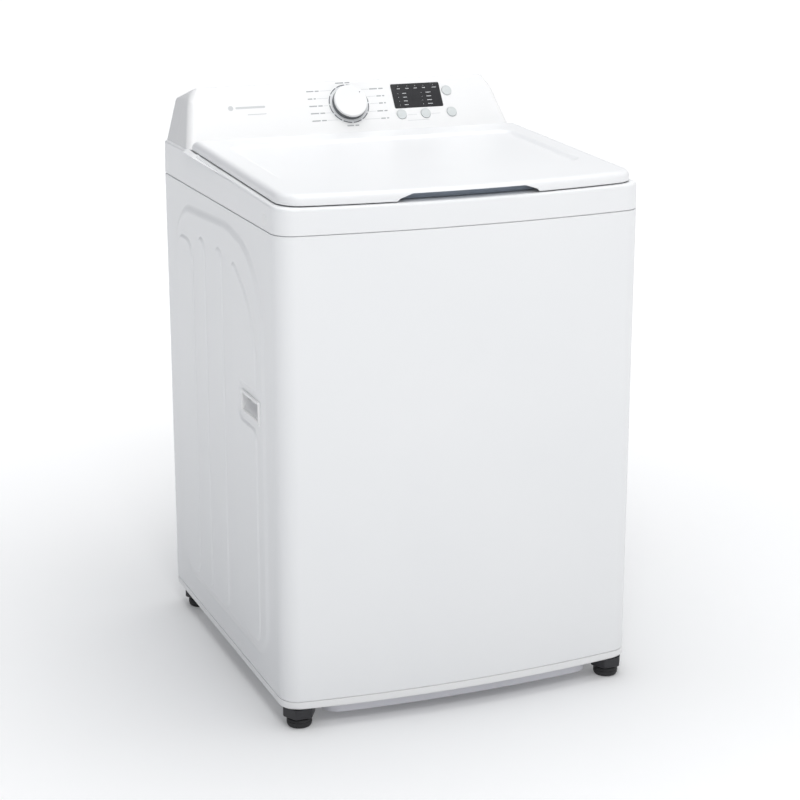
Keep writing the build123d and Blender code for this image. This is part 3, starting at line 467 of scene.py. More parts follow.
# %% skin
class Skin:
    """A mesh under construction from rings, the bands between them and flat fills."""

    def __init__(self):
        self.mesh = bmesh.new()

    def ring(self, points):
        """A loop of new vertices."""
        return [self.mesh.verts.new(point) for point in points]

    def band(self, first, second, closed=True):
        """Quads between two rings with the same number of points."""
        count = len(first)
        for a in range(count if closed else count - 1):
            b = (a + 1) % count
            self.mesh.faces.new((first[a], first[b], second[b], second[a]))

    def stack(self, rings, closed=True):
        """Joins a list of point rings one to the next, and returns them as vertices."""
        made = [self.ring(points) for points in rings]
        for first, second in zip(made, made[1:]):
            self.band(first, second, closed)
        return made

    def fill(self, *loops):
        """Flat face with holes: the first loop is its outline and the others its holes."""
        edges = []
        for loop in loops:
            for a, b in zip(loop, loop[1:] + loop[:1]):
                edges.append(self.mesh.edges.get((a, b)) or self.mesh.edges.new((a, b)))
        bmesh.ops.triangle_fill(self.mesh, edges=edges, use_beauty=True)

    def cap(self, loop):
        """One flat face on a ring."""
        self.mesh.faces.new(loop)

    def shell(self, rings):
        """A closed tube of rings: the last one joins the first again."""
        made = self.stack(rings)
        self.band(made[-1], made[0])

    def solid(self, rings):
        """A closed solid: a stack of rings with both ends capped."""
        made = self.stack(rings)
        self.cap(made[0])
        self.cap(made[-1])

    def piece(self, name, frame_matrix=None):
        """Ends the mesh and returns it as an object in the scene."""
        bmesh.ops.recalc_face_normals(self.mesh, faces=self.mesh.faces)
        data = bpy.data.meshes.new(name)
        self.mesh.to_mesh(data)
        self.mesh.free()
        if frame_matrix is not None:
            data.transform(frame_matrix)
        made = bpy.data.objects.new(name, data)
        bpy.context.scene.collection.objects.link(made)
        return made


# %% [markdown]
# Skins get their thickness from a Solidify modifier, holes come from Boolean cutters, and both are
# settled into the mesh. Weighted normals keep the large flat fields truly flat to the light where they
# meet a soft edge.

# %% settling helpers
def settle(piece):
    """Turns a piece's modifiers into plain mesh."""
    bpy.context.view_layer.update()
    held = piece.evaluated_get(bpy.context.evaluated_depsgraph_get())
    data = bpy.data.meshes.new_from_object(held)
    piece.modifiers.clear()
    piece.data = data
    return piece


def thicken(piece, thickness):
    """Gives an open skin its wall, inward."""
    wall = piece.modifiers.new("wall", "SOLIDIFY")
    wall.thickness = thickness
    wall.offset = -1.0
    wall.use_even_offset = True
    return settle(piece)


def cut(piece, *cutters):
    """Takes the cutters out of a closed piece and removes them."""
    for cutter in cutters:
        hole = piece.modifiers.new("hole", "BOOLEAN")
        hole.operation = "DIFFERENCE"
        hole.solver = "EXACT"
        hole.object = cutter
    settle(piece)
    for cutter in cutters:
        bpy.data.objects.remove(cutter)
    return piece


def finish_piece(piece, body, material, stands_for=(), angle=35.0, weighted=True):
    """Shades a piece, gives it its finish and hangs it on its body."""
    piece.data.materials.clear()
    piece.data.materials.append(MATERIALS[material])
    piece.data.shade_smooth()
    piece.data.set_sharp_from_angle(angle=math.radians(angle))
    if weighted:
        even = piece.modifiers.new("even_normals", "WEIGHTED_NORMAL")
        even.keep_sharp = True
        settle(piece)
    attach(piece, body)
    if stands_for:
        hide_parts(*stands_for)
    print(piece.name, "faces", len(piece.data.polygons))
    return piece


# %% [markdown]
# Two shapes come back often enough to have a helper each: a straight block on a flat outline, and a
# profile turned about an upright axis.

# %% blocks and turned shapes
def prism(name, outline, low, high, frame_matrix=None):
    """Straight block on a closed flat outline, between two heights."""
    skin = Skin()
    skin.solid([[(u, v, height) for u, v in outline] for height in (low, high)])
    return skin.piece(name, frame_matrix)


def turned(skin, profile, centre=(0.0, 0.0, 0.0), steps=64, closed=False, frame_matrix=None):
    """Adds (radius, height) points turned about an upright axis; a zero radius closes at a point."""
    middle = Vector(centre)
    rings = []
    for radius, height in profile:
        count = steps if radius > 0 else 1
        turns = [2 * math.pi * step / steps for step in range(count)]
        points = [middle + Vector((radius * math.cos(a), radius * math.sin(a), height)) for a in turns]
        if frame_matrix is not None:
            points = [frame_matrix @ point for point in points]
        rings.append(skin.ring(points))
    pairs = list(zip(rings, rings[1:]))
    if closed:
        pairs.append((rings[-1], rings[0]))
    for first, second in pairs:
        if len(first) == len(second):
            skin.band(first, second)
        else:
            point, rim = (first[0], second) if len(first) == 1 else (second[0], first)
            for a, b in zip(rim, rim[1:] + rim[:1]):
                skin.mesh.faces.new((point, a, b))


# %% [markdown]
# ## Cabinet wrap
# On the real machine this is one enamelled steel sheet, bowed at the front and folded round both sides,
# with a broad raised field and ribs pressed into each side to stop it drumming. A height map on a dense
# grid would blur those edges, so each pressing is drawn as rings that follow its own outline from the
# foot of the step to its top, and the flats between are filled with holes left for the pressings.

# %% pressings of the side walls, as (y, z, corner radius)
PLATEAU = 0.0042
RIB = 0.0026
FIELD = [(-0.268, 0.098, 0.075), (0.284, 0.098, 0.075), (0.284, 0.800, 0.090), (0.215, 0.862, 0.120),
         (-0.060, 0.876, 0.300), (-0.200, 0.853, 0.150), (-0.268, 0.745, 0.190)]
RIB_LOW = 0.119
STRAIGHT_RIBS = [(0.148, 0.256, 0.800), (0.068, 0.118, 0.818), (-0.040, 0.008, 0.820)]
BOW_RIB = (-0.228, -0.088, 0.828)  # each rib is its front y, back y and top z
HANDLE = (-0.242, -0.142, 0.544, 0.586)  # low y, high y, low z, high z
HANDLE_MARGIN = 0.011
HAND_HOLE_EDGE = 0.005


def rib_outlines():
    """Outlines of the four ribs: the front one follows the field's corner and steps round the handle."""
    outlines = []
    for front, back, top in STRAIGHT_RIBS:
        radius = min(0.040, (back - front) / 2 - 0.0005)
        outlines.append(oblong((front, back, RIB_LOW, top), radius))
    front, back, top = BOW_RIB
    behind = HANDLE[1] + HANDLE_MARGIN
    low = HANDLE[2] - HANDLE_MARGIN
    high = HANDLE[3] + HANDLE_MARGIN
    outlines.append([(front, RIB_LOW, 0.035), (back, RIB_LOW, 0.035), (back, top, 0.020),
                     (front, top - 0.092, 0.150), (front, high, 0.011), (behind, high, 0.008),
                     (behind, low, 0.014), (front, low, 0.025)])
    return outlines


def pressed_side(skin, side, frame_corners):
    """Fills one flat side between its corners, with the raised field, the ribs and the hand hole."""
    def pressing(outline, width, height, base):
        rings = []
        for inset, level in swell(width, height):
            x = side * (HALF_WIDTH + base + level)
            rings.append([(x, y, z) for y, z in rounded(outline, inset, 10)])
        return skin.stack(rings)

    field = pressing(FIELD, 0.018, PLATEAU, 0.0)
    skin.fill(frame_corners, field[0])
    y0, y1, z0, z1 = HANDLE
    edge = HAND_HOLE_EDGE
    hole = oblong((y0 + edge, y1 - edge, z0 + edge, z1 - edge), 0.004)
    loops = [skin.ring([(side * (HALF_WIDTH + PLATEAU), y, z) for y, z in rounded(hole)])]
    for outline in rib_outlines():
        rib = pressing(outline, 0.008, RIB, PLATEAU)
        loops.append(rib[0])
        skin.fill(rib[-1])
    skin.fill(field[-1], *loops)


print("ribs on each side", len(rib_outlines()))

# %% [markdown]
# The rest of the sheet is four rows of the same plan, which leaves one large flat face on each side. The
# side's pressings are drawn into that face, and the whole skin is given the thickness of the steel.

# %% cabinet wrap
REAR_ROUND = 0.003
REAR_POINTS = 5  # points of one rounded rear corner
REAR_FLANGE = 0.020
ROLL = [(0.0, 0.0015), (0.0002, 0.0008), (0.0007, 0.0002), (0.0015, 0.0)]  # (up, inset), rolled edge


def cabinet_plan(inset=0.0, marks=()):
    """Plan of the cabinet, drawn inward."""
    front = FRONT_Y + inset
    back = BACK_Y - inset
    radius = CORNER_RADIUS - inset
    return bowed(HALF_WIDTH - inset, front + BOW, front, back, radius, REAR_ROUND, marks)


def cabinet_wrap():
    """The folded sheet: rolled lower and upper edges, bowed front, pressed sides and rear flanges."""
    skin = Skin()
    low, high = WRAP_BOX[0].z, WRAP_BOX[1].z
    rows = [(low + up, inset) for up, inset in ROLL]
    rows += [(high - up, inset) for up, inset in reversed(ROLL)]
    grid = []
    for height, inset in rows:
        ring = cabinet_plan(inset)
        flange = HALF_WIDTH - REAR_FLANGE
        back = BACK_Y - inset
        path = [(-flange, back)] + ring[-REAR_POINTS:] + ring[:-REAR_POINTS] + [(flange, back)]
        grid.append(skin.ring([(x, y, height) for x, y in path]))
    left = REAR_POINTS
    right = len(grid[0]) - REAR_POINTS - 2
    tall = len(ROLL) - 1
    for row, (lower, upper) in enumerate(zip(grid, grid[1:])):
        for column in range(len(lower) - 1):
            if row == tall and column in (left, right):
                continue
            skin.mesh.faces.new((lower[column], lower[column + 1], upper[column + 1], upper[column]))
    for side, column in ((-1, left), (1, right)):
        foot, head = grid[tall], grid[tall + 1]
        pressed_side(skin, side, [foot[column], foot[column + 1], head[column + 1], head[column]])
    return thicken(skin.piece("cabinet_sheet"), SHEET)


finish_piece(cabinet_wrap(), "cabinet", "white_enamel", stands_for=("cabinet_wrap",), angle=50.0)

# %% [markdown]
# ## Base band, pan and feet
# A moulded band closes the cabinet at the bottom. It is drawn as one profile swept round the plan: a
# lip inside the sheet, a shelf, a rounded outer face, and a floor with a large service opening. Four
# round bosses in that floor carry the feet.

# %% base band
BAND_LOW = BAND_BOX[0].z
BAND_HIGH = WRAP_BOX[0].z - 0.001
LIP_HIGH = BAND_BOX[1].z
FOOT_NAMES = [name for name in frame["nodes"] if name.startswith("foot_") and name != "foot_collars"]
FEET = {name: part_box(name) for name in FOOT_NAMES}
FOOT_SPOTS = {name: ((low.x + high.x) / 2, (low.y + high.y) / 2) for name, (low, high) in FEET.items()}
SERVICE_OPENING = (-0.230, 0.230, -0.290, 0.210)  # low x, high x, low y, high y


def base_band():
    """Band, floor and foot bosses of the moulded base."""
    skin = Skin()
    lip = SHEET + 0.0004
    rows = [(LIP_HIGH, lip), (BAND_HIGH + 0.001, lip), (BAND_HIGH, lip + 0.0006), (BAND_HIGH, 0.0016),
            (BAND_HIGH - 0.0004, 0.0006), (BAND_HIGH - 0.0016, 0.0)]
    rows += [(BAND_LOW + drop, inset) for inset, drop in round_over(0.005)]
    stack = skin.stack([[(x, y, z) for x, y in cabinet_plan(inset)] for z, inset in rows])
    opening = rounded(oblong(SERVICE_OPENING, 0.02))
    rim = skin.stack([[(x, y, z) for x, y in opening] for z in (BAND_LOW, BAND_LOW + 0.008)])
    skin.fill(stack[-1], rim[0])
    base = thicken(skin.piece("base_band"), 0.002)
    bosses = Skin()
    boss = [(0.0055, 0.041), (0.013, 0.041), (0.013, 0.060), (0.012, 0.062), (0.0055, 0.062)]
    for x, y in FOOT_SPOTS.values():
        turned(bosses, boss, (x, y, 0.0), 24, closed=True)
    return joined(base, bosses.piece("base_bosses"))


def joined(piece, *others):
    """Adds other pieces' meshes to one piece."""
    merged = bmesh.new()
    for source in (piece, *others):
        merged.from_mesh(source.data)
    merged.to_mesh(piece.data)
    merged.free()
    for other in others:
        bpy.data.objects.remove(other)
    return piece


finish_piece(base_band(), "cabinet", "white_plastic", stands_for=("base_frame",), angle=40.0)

# %% [markdown]
# Under the band hangs a shallow grey steel tray, which is the pale strip seen between the front feet. Its
# beads are drawn like the ribs of the cabinet's sides.

# %% base pan
PAN_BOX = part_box("base_pan")
PAN_BOW = 0.014
PAN_RADIUS = 0.035
PAN_BEADS = (-0.13, 0.02, 0.17)  # y of each bead's middle line
BEAD_REACH = 0.2
BEAD_HALF = 0.014


def base_pan():
    """Drawn tray with rounded lower edges and three long beads in its floor."""
    skin = Skin()
    low, high = PAN_BOX
    rows = [(high.z, 0.0)] + [(low.z + drop, inset) for inset, drop in round_over(0.004, 0.0, 0.0, 4)]
    rings = []
    for z, inset in rows:
        corner = low.y + PAN_BOW + inset
        radius = PAN_RADIUS - inset
        plan = bowed(high.x - inset, corner, low.y + inset, high.y - inset, radius, 0.004)
        rings.append([(x, y, z) for x, y in plan])
    stack = skin.stack(rings)
    beads = []
    for y in PAN_BEADS:
        bead = oblong((-BEAD_REACH, BEAD_REACH, y - BEAD_HALF, y + BEAD_HALF), 0.0139)
        pressing = skin.stack([[(u, v, low.z + level) for u, v in rounded(bead, inset)]
                               for inset, level in swell(0.008, 0.0035, 4)])
        skin.fill(pressing[-1])
        beads.append(pressing[0])
    skin.fill(stack[-1], *beads)
    return thicken(skin.piece("base_tray"), SHEET)


finish_piece(base_pan(), "cabinet", "pan_grey", ("base_pan",), angle=40.0)

# %% [markdown]
# Each screw foot stands in a black hexagonal socket. The socket is a hollow shell whose outer rings are
# hexagons and whose inner rings are circles with the same number of points. The foot is one turned
# profile with a soft sole, a grooved rim and a threaded stem.

# %% sockets and feet
SOCKET_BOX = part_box("foot_collars")
SOCKET_LOW = SOCKET_BOX[0].z
SOCKET_HIGH = SOCKET_BOX[1].z
SOCKET_RADIUS = 0.031
SOCKET_FLOOR = SOCKET_LOW + 0.008
CORNER_STEPS = 4
BORE_RADIUS = 0.0053
RECESS_RADIUS = 0.024


def hexagon(radius, corner):
    """Corners of a hexagon with a flat towards the front."""
    turns = [math.radians(60 * step) for step in range(6)]
    return [(radius * math.cos(a), radius * math.sin(a), corner) for a in turns]


def leg_sockets():
    """Four hexagonal sockets, each open below to take its foot."""
    skin = Skin()
    outline = hexagon(SOCKET_RADIUS, 0.004)
    outer = [(inset, SOCKET_LOW + drop) for inset, drop in reversed(round_over(0.003, 0.0, 0.0, 3))]
    outer.append((0.0, SOCKET_HIGH))
    inner = [(BORE_RADIUS, SOCKET_HIGH), (BORE_RADIUS, SOCKET_FLOOR), (RECESS_RADIUS, SOCKET_FLOOR),
             (RECESS_RADIUS, SOCKET_LOW)]
    count = 6 * (CORNER_STEPS + 1)
    turns = [2 * math.pi * (step - 2) / count for step in range(count)]
    for x, y in FOOT_SPOTS.values():
        rings = []
        for inset, height in outer:
            rings.append([(x + u, y + v, height) for u, v in rounded(outline, inset, CORNER_STEPS)])
        for radius, height in inner:
            rings.append([(x + radius * math.cos(a), y + radius * math.sin(a), height) for a in turns])
        skin.shell(rings)
    return skin.piece("leg_sockets")


def foot_pad(name):
    """Rubber-soled screw foot: grooved sole, grooved rim and threaded stem."""
    skin = Skin()
    low, high = FEET[name]
    x, y = FOOT_SPOTS[name]
    radius = (high.x - low.x) / 2
    groove = radius - 0.0008
    sole = [(0.0, 0.0005), (0.008, 0.0005), (0.0085, 0.0), (0.012, 0.0), (0.0125, 0.0008),
            (0.0138, 0.0008), (0.0143, 0.0)]
    side = [(0.0175, 0.0), (0.0205, 0.001), (0.0222, 0.0035), (radius, 0.007), (radius, 0.0105),
            (groove, 0.011), (groove, 0.012), (radius, 0.0125), (radius, 0.0150), (0.0215, 0.0175),
            (0.0185, 0.0190), (0.0060, 0.0190)]
    stem = []
    for turn in range(20):
        z = 0.0200 + turn * 0.0032
        stem += [(0.0044, z), (0.0050, z + 0.0008), (0.0050, z + 0.0016), (0.0044, z + 0.0024)]
    turned(skin, sole + side + stem + [(0.0044, high.z), (0.0, high.z)], (x, y, 0.0), 48)
    return skin.piece(name.replace("foot_", "screw_foot_"))


finish_piece(leg_sockets(), "cabinet", "black_plastic", stands_for=("foot_collars",), angle=40.0)
for foot in FEET:
    finish_piece(foot_pad(foot), foot, "black_rubber", stands_for=(foot,), angle=40.0)

# %% [markdown]
# ## Top cover
# The cover is the broad band above the seam together with the deck that the lid lies on. The deck
# slopes gently towards the front, has the round loading mouth with a rolled collar, a trough for the
# hinge, and openings for the detergent cup and the lid catch. All of it is one skin, thickened inward.

# %% top cover
MOUTH = (0.0, -0.065)
MOUTH_RADIUS = 0.200
COLLAR_LOW = COVER_BOX[0].z
TROUGH = (-0.3345, 0.3345, 0.144, 0.197)  # low x, high x, low y, high y
TROUGH_FLOOR = 0.936
CUP_HOLE = (-0.282, -0.198, -0.307, -0.243)
STRIKE_HOLE = (0.266, 0.275, -0.078, -0.045)
DECK_SKIN = 0.0025
HOSE_SPOTS = (-0.230, -0.180)  # x of the hot and the cold connector
HOSE_Z = 0.926
HOSE_HOLE = 0.0145  # radius
FLUME_HOLE = (-0.036, 0.036, MOUTH[1] + 0.150, MOUTH[1] + 0.215)


def deck(y):
    """Height of the deck at a depth."""
    return min(DECK_Z, DECK_FRONT_Z + (y - FRONT_Y) * math.tan(TILT))


def sunk(skin, outline, lip, floor, steps=4):
    """Opening in the deck: a rounded lip, then a straight wall down to the floor height."""
    rings = []
    for inset, drop in round_over(lip, 0.0, 0.0, steps)[::-1]:
        rings.append([(x, y, deck(y) - drop) for x, y in rounded(outline, inset - lip)])
    rings.append([(x, y, floor) for x, y in rounded(outline)])
    return skin.stack(rings)


def top_cover():
    """Deck, skirt, mouth collar and hinge trough."""
    skin = Skin()
    rings = []
    for up, inset in ROLL:
        rings.append([(x, y, COVER_BOTTOM + up) for x, y in cabinet_plan(inset, (DECK_RISE_Y,))])
    shoulder = [(0.0006, 0.016)] + round_over(0.0062, 0.0008, 0.0, 6)
    for inset, drop in shoulder:
        rings.append([(x, y, deck(y) - drop) for x, y in cabinet_plan(inset, (DECK_RISE_Y,))])
    skirt = skin.stack(rings)
    turns = [2 * math.pi * step / 120 for step in range(120)]
    circle = [(MOUTH[0] + MOUTH_RADIUS * math.cos(a), MOUTH[1] + MOUTH_RADIUS * math.sin(a), 0.0)
              for a in turns]
    mouth = sunk(skin, circle, 0.007, COLLAR_LOW)
    trough = sunk(skin, oblong(TROUGH, 0.003), 0.0008, TROUGH_FLOOR, 2)
    skin.fill(trough[-1])
    cup = sunk(skin, oblong(CUP_HOLE, 0.004), 0.0008, DECK_FRONT_Z - 0.008, 2)
    strike = sunk(skin, oblong(STRIKE_HOLE, 0.002), 0.0006, DECK_FRONT_Z - 0.003, 2)
    skin.fill(skirt[-1], mouth[0], trough[0], cup[0], strike[0])
    cover = thicken(skin.piece("top_cover_shell"), DECK_SKIN)
    cutters = [hose_cutter(x) for x in HOSE_SPOTS]
    flume = prism("flume_hole", rounded(oblong(FLUME_HOLE, 0.002)), 0.906, 0.928)
    return cut(cover, *cutters, flume)


def facing(place, direction):
    """Frame at a place, with its Z along a direction."""
    return Matrix.Translation(place) @ Vector(direction).to_track_quat("Z", "Y").to_matrix().to_4x4()


def hose_cutter(x):
    """Round cutter through the back of the cover, for one hose connector."""
    skin = Skin()
    start, length = BACK_Y - 0.02, 0.03
    profile = [(0.0, 0.0), (HOSE_HOLE, 0.0), (HOSE_HOLE, length), (0.0, length)]
    turned(skin, profile, steps=48, frame_matrix=facing((x, start, HOSE_Z), (0, 1, 0)))
    return skin.piece("cutter")


def cover_lip():
    """Inner lip of the cover that locates it inside the wrap."""
    skin = Skin()
    low, high = COVER_BOTTOM - 0.012, COVER_BOTTOM + 0.006
    sections = [(low, 0.0030), (high, 0.0030), (high, 0.0042), (low, 0.0042)]
    skin.shell([[(x, y, z) for x, y in cabinet_plan(inset)] for z, inset in sections])
    return skin.piece("cover_lip")


cover = joined(top_cover(), cover_lip())
finish_piece(cover, "cabinet", "white_enamel", stands_for=("top_cover",), angle=40.0)

# %% [markdown]
# A snap cap near the front of each side hides the screw that holds the cover. It stands out by half a
# millimetre, so it is a small turned disc laid on the wall.

# %% side plugs
PLUG_SPOT = (-0.2735, 0.915)  # y, z


def side_plugs():
    """Flush snap caps over the cover's side screws."""
    skin = Skin()
    profile = [(0.0, 0.0005), (0.0086, 0.0005), (0.0094, 0.0004), (0.0100, 0.0), (0.0100, -0.0006),
               (0.0, -0.0006)]
    for side in (-1, 1):
        wall = facing((side * HALF_WIDTH, *PLUG_SPOT), (side, 0, 0))
        turned(skin, profile, steps=40, frame_matrix=wall)
    return skin.piece("screw_caps")


finish_piece(side_plugs(), "cabinet", "white_plastic", stands_for=("side_plugs",), angle=40.0)

# %% [markdown]
# ## Hand holds
# Each side has a moulded pocket that the fingers go up into. From outside it shows a raised frame, a
# sloping panel that catches the light, and a dark gap under the top edge. The frame is a rounded
# profile swept round the opening and the panel is a curved sheet inside it.

# %% hand holds
POCKET_DEPTH = 0.034


def hand_hold(side):
    """Frame, pocket walls and sloping scoop of one side."""
    skin = Skin()
    y0, y1, z0, z1 = HANDLE
    x = HALF_WIDTH + PLATEAU
    outline = oblong(HANDLE, 0.006)
    section = [(0.0, 0.0), (0.0, 0.0012), (0.0007, 0.0018), (0.0035, 0.0018), (0.0048, 0.0012),
               (0.0054, -0.0006), (0.0054, -POCKET_DEPTH + 0.004), (0.0060, -POCKET_DEPTH + 0.001)]
    rings = [[(side * (x + out), y, z) for y, z in rounded(outline, inset)] for inset, out in section]
    stack = skin.stack(rings)
    skin.cap(stack[-1])
    pocket = thicken(skin.piece("pocket"), -0.0012)
    scoop = Skin()
    slope = []
    for step in range(11):
        t = step / 10
        z = z0 + 0.0062 + (z1 - z0 - 0.018) * t
        out = -0.0010 - 0.015 * t ** 1.2
        slope.append([(side * (x + out), y, z) for y in (y0 + 0.0064, y1 - 0.0064)])
    scoop.stack(slope, closed=False)
    return joined(pocket, thicken(scoop.piece("scoop"), 0.0012))


for side, name in ((-1, "left"), (1, "right")):
    hold = hand_hold(side)
    hold.name = "hand_hold_" + name
    finish_piece(hold, "cabinet", "white_plastic", stands_for=("handle_cup_" + name,), angle=40.0)

# %% [markdown]
# ## Lid
# The lid is a shallow tray turned upside down: a bowed slab with bevelled sides, a broad panel sunk in
# its top, a quarter-round rear edge about the hinge and a finger notch in front. It is built flat, in
# its own frame, and then laid on the sloping deck.

# %% lid frame and outer shell
LID_GAP = 0.002
LID_FRAME = Matrix.Translation((0.0, FRONT_Y, DECK_FRONT_Z + LID_GAP)) @ Matrix.Rotation(TILT, 4, "X")
LID_HALF = 0.333
LID_FRONT = 0.005
LID_BOW = 0.027
LID_CORNER = 0.045
LID_THICK = 0.019
LID_WALL = 0.003
HINGE_RUN = 0.535
HINGE_DROP = 0.003
BARREL = LID_THICK + HINGE_DROP
SUNK_PANEL = oblong((-0.290, 0.290, 0.151, 0.478), 0.032)
SUNK_DEPTH = 0.0065
NOTCH = (0.131, 0.105, 0.0125)  # half width at the bottom, half width at the top, height
LID_EDGE = [(0.0012, 0.0), (0.0002, 0.0007), (0.0, 0.0020), (0.0002, 0.0070), (0.0008, 0.0100),
            (0.0020, 0.0130), (0.0038, 0.0155), (0.0060, 0.0173), (0.0085, 0.0184), (0.0115, 0.0189),
            (0.0140, LID_THICK)]  # (inset, height) up the lid's side and over onto its top


def lid_plan(inset, back):
    """Plan of the lid in its own frame."""
    front = LID_FRONT + inset
    return bowed(LID_HALF - inset, front + LID_BOW, front, back, LID_CORNER - inset, 0.004)


def lid_shell():
    """Outer skin with its sunk panel and notch."""
    skin = Skin()
    rings = []
    for inset, height in LID_EDGE:
        back = HINGE_RUN + math.sqrt(max(0.0, BARREL ** 2 - (height + HINGE_DROP) ** 2))
        rings.append([(x, y, height) for x, y in lid_plan(inset, back)])
    stack = skin.stack(rings)
    steps = [[(x, y, LID_THICK - level) for x, y in rounded(SUNK_PANEL, inset, 10)]
             for inset, level in swell(0.013, SUNK_DEPTH, 8)]
    panel_rings = skin.stack(steps)
    skin.fill(stack[-1], panel_rings[0])
    skin.fill(panel_rings[-1])
    shell = thicken(skin.piece("lid_shell"), LID_WALL)
    low_half, high_half, height = NOTCH
    wide, waist = low_half + 0.004, low_half - 0.002
    profile = rounded([(-wide, -0.004, 0.0), (wide, -0.004, 0.0), (waist, 0.0045, 0.010),
                       (high_half, height, 0.016), (-high_half, height, 0.016),
                       (-waist, 0.0045, 0.010)], 0.0, 8)
    upright = Matrix.Translation((0.0, 0.030, 0.0)) @ Matrix.Rotation(math.pi / 2, 4, "X")
    shell = cut(shell, prism("notch", profile, 0.0, 0.060, upright))
    shell.data.transform(LID_FRAME)
    return shell


finish_piece(lid_shell(), "lid", "white_enamel", stands_for=("lid_outer",), angle=30.0)

# %% [markdown]
# Under the shell lies a moulded tray with a raised field and the ears that turn on the hinge pins. A
# slate-grey scoop closes the notch from behind; its slate grey is painted shade, standing for the shade
# inside the pocket. Its back is a quarter turn from the lid's front edge down into the pocket, bent to
# the same bow as the lid.

# %% lid tray and finger scoop
TRAY_FIELD = oblong((-0.300, 0.300, 0.052, 0.505), 0.030)
TRAY_BEADS = (-0.18, 0.0, 0.18)  # x of each bead's middle line
TRAY_BEAD_HALF = 0.052
EAR = [(0.500, 0.0025, 0.001), (0.5275, 0.0025, 0.006), (0.5275, -0.0105, 0.007),
       (0.5425, -0.0105, 0.007), (0.5425, 0.013, 0.004), (0.500, 0.013, 0.001)]
EAR_SPANS = ((0.292, 0.298), (0.306, 0.312))  # x of both ears beside one hinge pin


def lid_tray():
    """Inner tray: rolled rim, raised field with three beads, and four hinge ears."""
    skin = Skin()
    rim = LID_WALL + 0.0004
    back = HINGE_RUN - 0.012
    section = ((rim, 0.0065), (rim, 0.0028), (rim + 0.0003, 0.0022), (rim + 0.0010, 0.0020))
    stack = skin.stack([[(x, y, z) for x, y in lid_plan(inset, back - inset)] for inset, z in section])
    raised = skin.stack([[(x, y, 0.002 + level) for x, y in rounded(TRAY_FIELD, inset, 8)]
                         for inset, level in swell(0.012, 0.0040, 6)])
    skin.fill(stack[-1], raised[0])
    beads = []
    for x in TRAY_BEADS:
        outline = oblong((x - TRAY_BEAD_HALF, x + TRAY_BEAD_HALF, 0.10, 0.455), 0.022)
        ring = skin.stack([[(u, v, 0.006 - level) for u, v in rounded(outline, inset, 8)]
                           for inset, level in swell(0.008, 0.0025, 5)])
        skin.fill(ring[-1])
        beads.append(ring[0])
    skin.fill(raised[-1], *beads)
    tray = thicken(skin.piece("lid_tray"), 0.0018)
    low_half = NOTCH[0] + 0.003
    mouth = [(-low_half, -0.02, 0.0), (low_half, -0.02, 0.0), (low_half, 0.030, 0.004),
             (-low_half, 0.030, 0.004)]
    tray = cut(tray, prism("mouth", rounded(mouth), -0.01, 0.02))
    ears = Skin()
    for side in (-1, 1):
        for span in EAR_SPANS:
            ears.solid([[(side * x, y, z) for y, z in rounded(EAR, 0.0, 5)] for x in span])
    tray = joined(tray, ears.piece("ears"))
    tray.data.transform(LID_FRAME)
    return tray


def finger_scoop():
    """Curved pocket behind the lid's notch, slate grey as painted shade inside it."""
    skin = Skin()
    low_half = NOTCH[0] + 0.002
    high_half = NOTCH[1] + 0.004
    rows = []
    for step in range(11):
        turn = math.pi / 2 * step / 10
        height = -0.0008 + (NOTCH[2] + 0.0022) * math.sin(turn)
        depth = LID_FRONT + 0.0236 - 0.016 * (1 - math.cos(turn))
        half = low_half + (high_half - low_half) * max(0.0, height / NOTCH[2]) ** 1.5
        bow = [half * (2 * column / 24 - 1) for column in range(25)]
        rows.append([(x, depth + LID_BOW * (x / LID_HALF) ** 2, height) for x in bow])
    front = [(x, y - 0.0035, z + 0.0002) for x, y, z in rows[-1]]
    skin.stack(rows + [front], closed=False)
    scoop = thicken(skin.piece("finger_scoop"), -0.0014)
    scoop.data.transform(LID_FRAME)
    return scoop


finish_piece(lid_tray(), "lid", "white_plastic", stands_for=("lid_liner",), angle=40.0)
# the scoop's slate grey is painted shade inside the finger pocket
finish_piece(finger_scoop(), "lid", "slate", angle=40.0)

# %% [markdown]
# ## Console
# The console is a wedge that leans back, narrows towards its top and has softly rounded ends. Its
# corner points are known from the frame's sizes, so its hull is made from them, its flat faces are
# merged, and each edge is rounded by its own amount through bevel weights. It is then opened below,
# parted in two and given its wall.

# %% console body
FACE_TILT = math.radians(56.9)
FACE_Y = 0.2051
FACE_Z = 0.970
FACE_LENGTH = 0.1195
CONSOLE_BACK_Z = 1.042
CONSOLE_WALL = 0.0025
CONSOLE_HALF = [(0.338, DECK_Z), (0.317, 1.044), (0.300, 1.071)]
FACE = Matrix(((1, 0, 0, 0), (0, math.cos(FACE_TILT), -math.sin(FACE_TILT), FACE_Y),
               (0, math.sin(FACE_TILT), math.cos(FACE_TILT), FACE_Z), (0, 0, 0, 1)))
RIDGE_Y = FACE_Y + FACE_LENGTH * math.cos(FACE_TILT)
RIDGE_Z = FACE_Z + FACE_LENGTH * math.sin(FACE_TILT)
PARTING_Y = RIDGE_Y + 0.012
PARTING_GAP = 0.0006
WIDEST_ROUND = 0.020
NEAR = 0.0001


def console_half(z):
    """Half width of the console at a height."""
    for (wide, low), (narrow, high) in zip(CONSOLE_HALF, CONSOLE_HALF[1:]):
        if z <= high:
            return wide + (narrow - wide) * (z - low) / (high - low)
    return CONSOLE_HALF[-1][0]


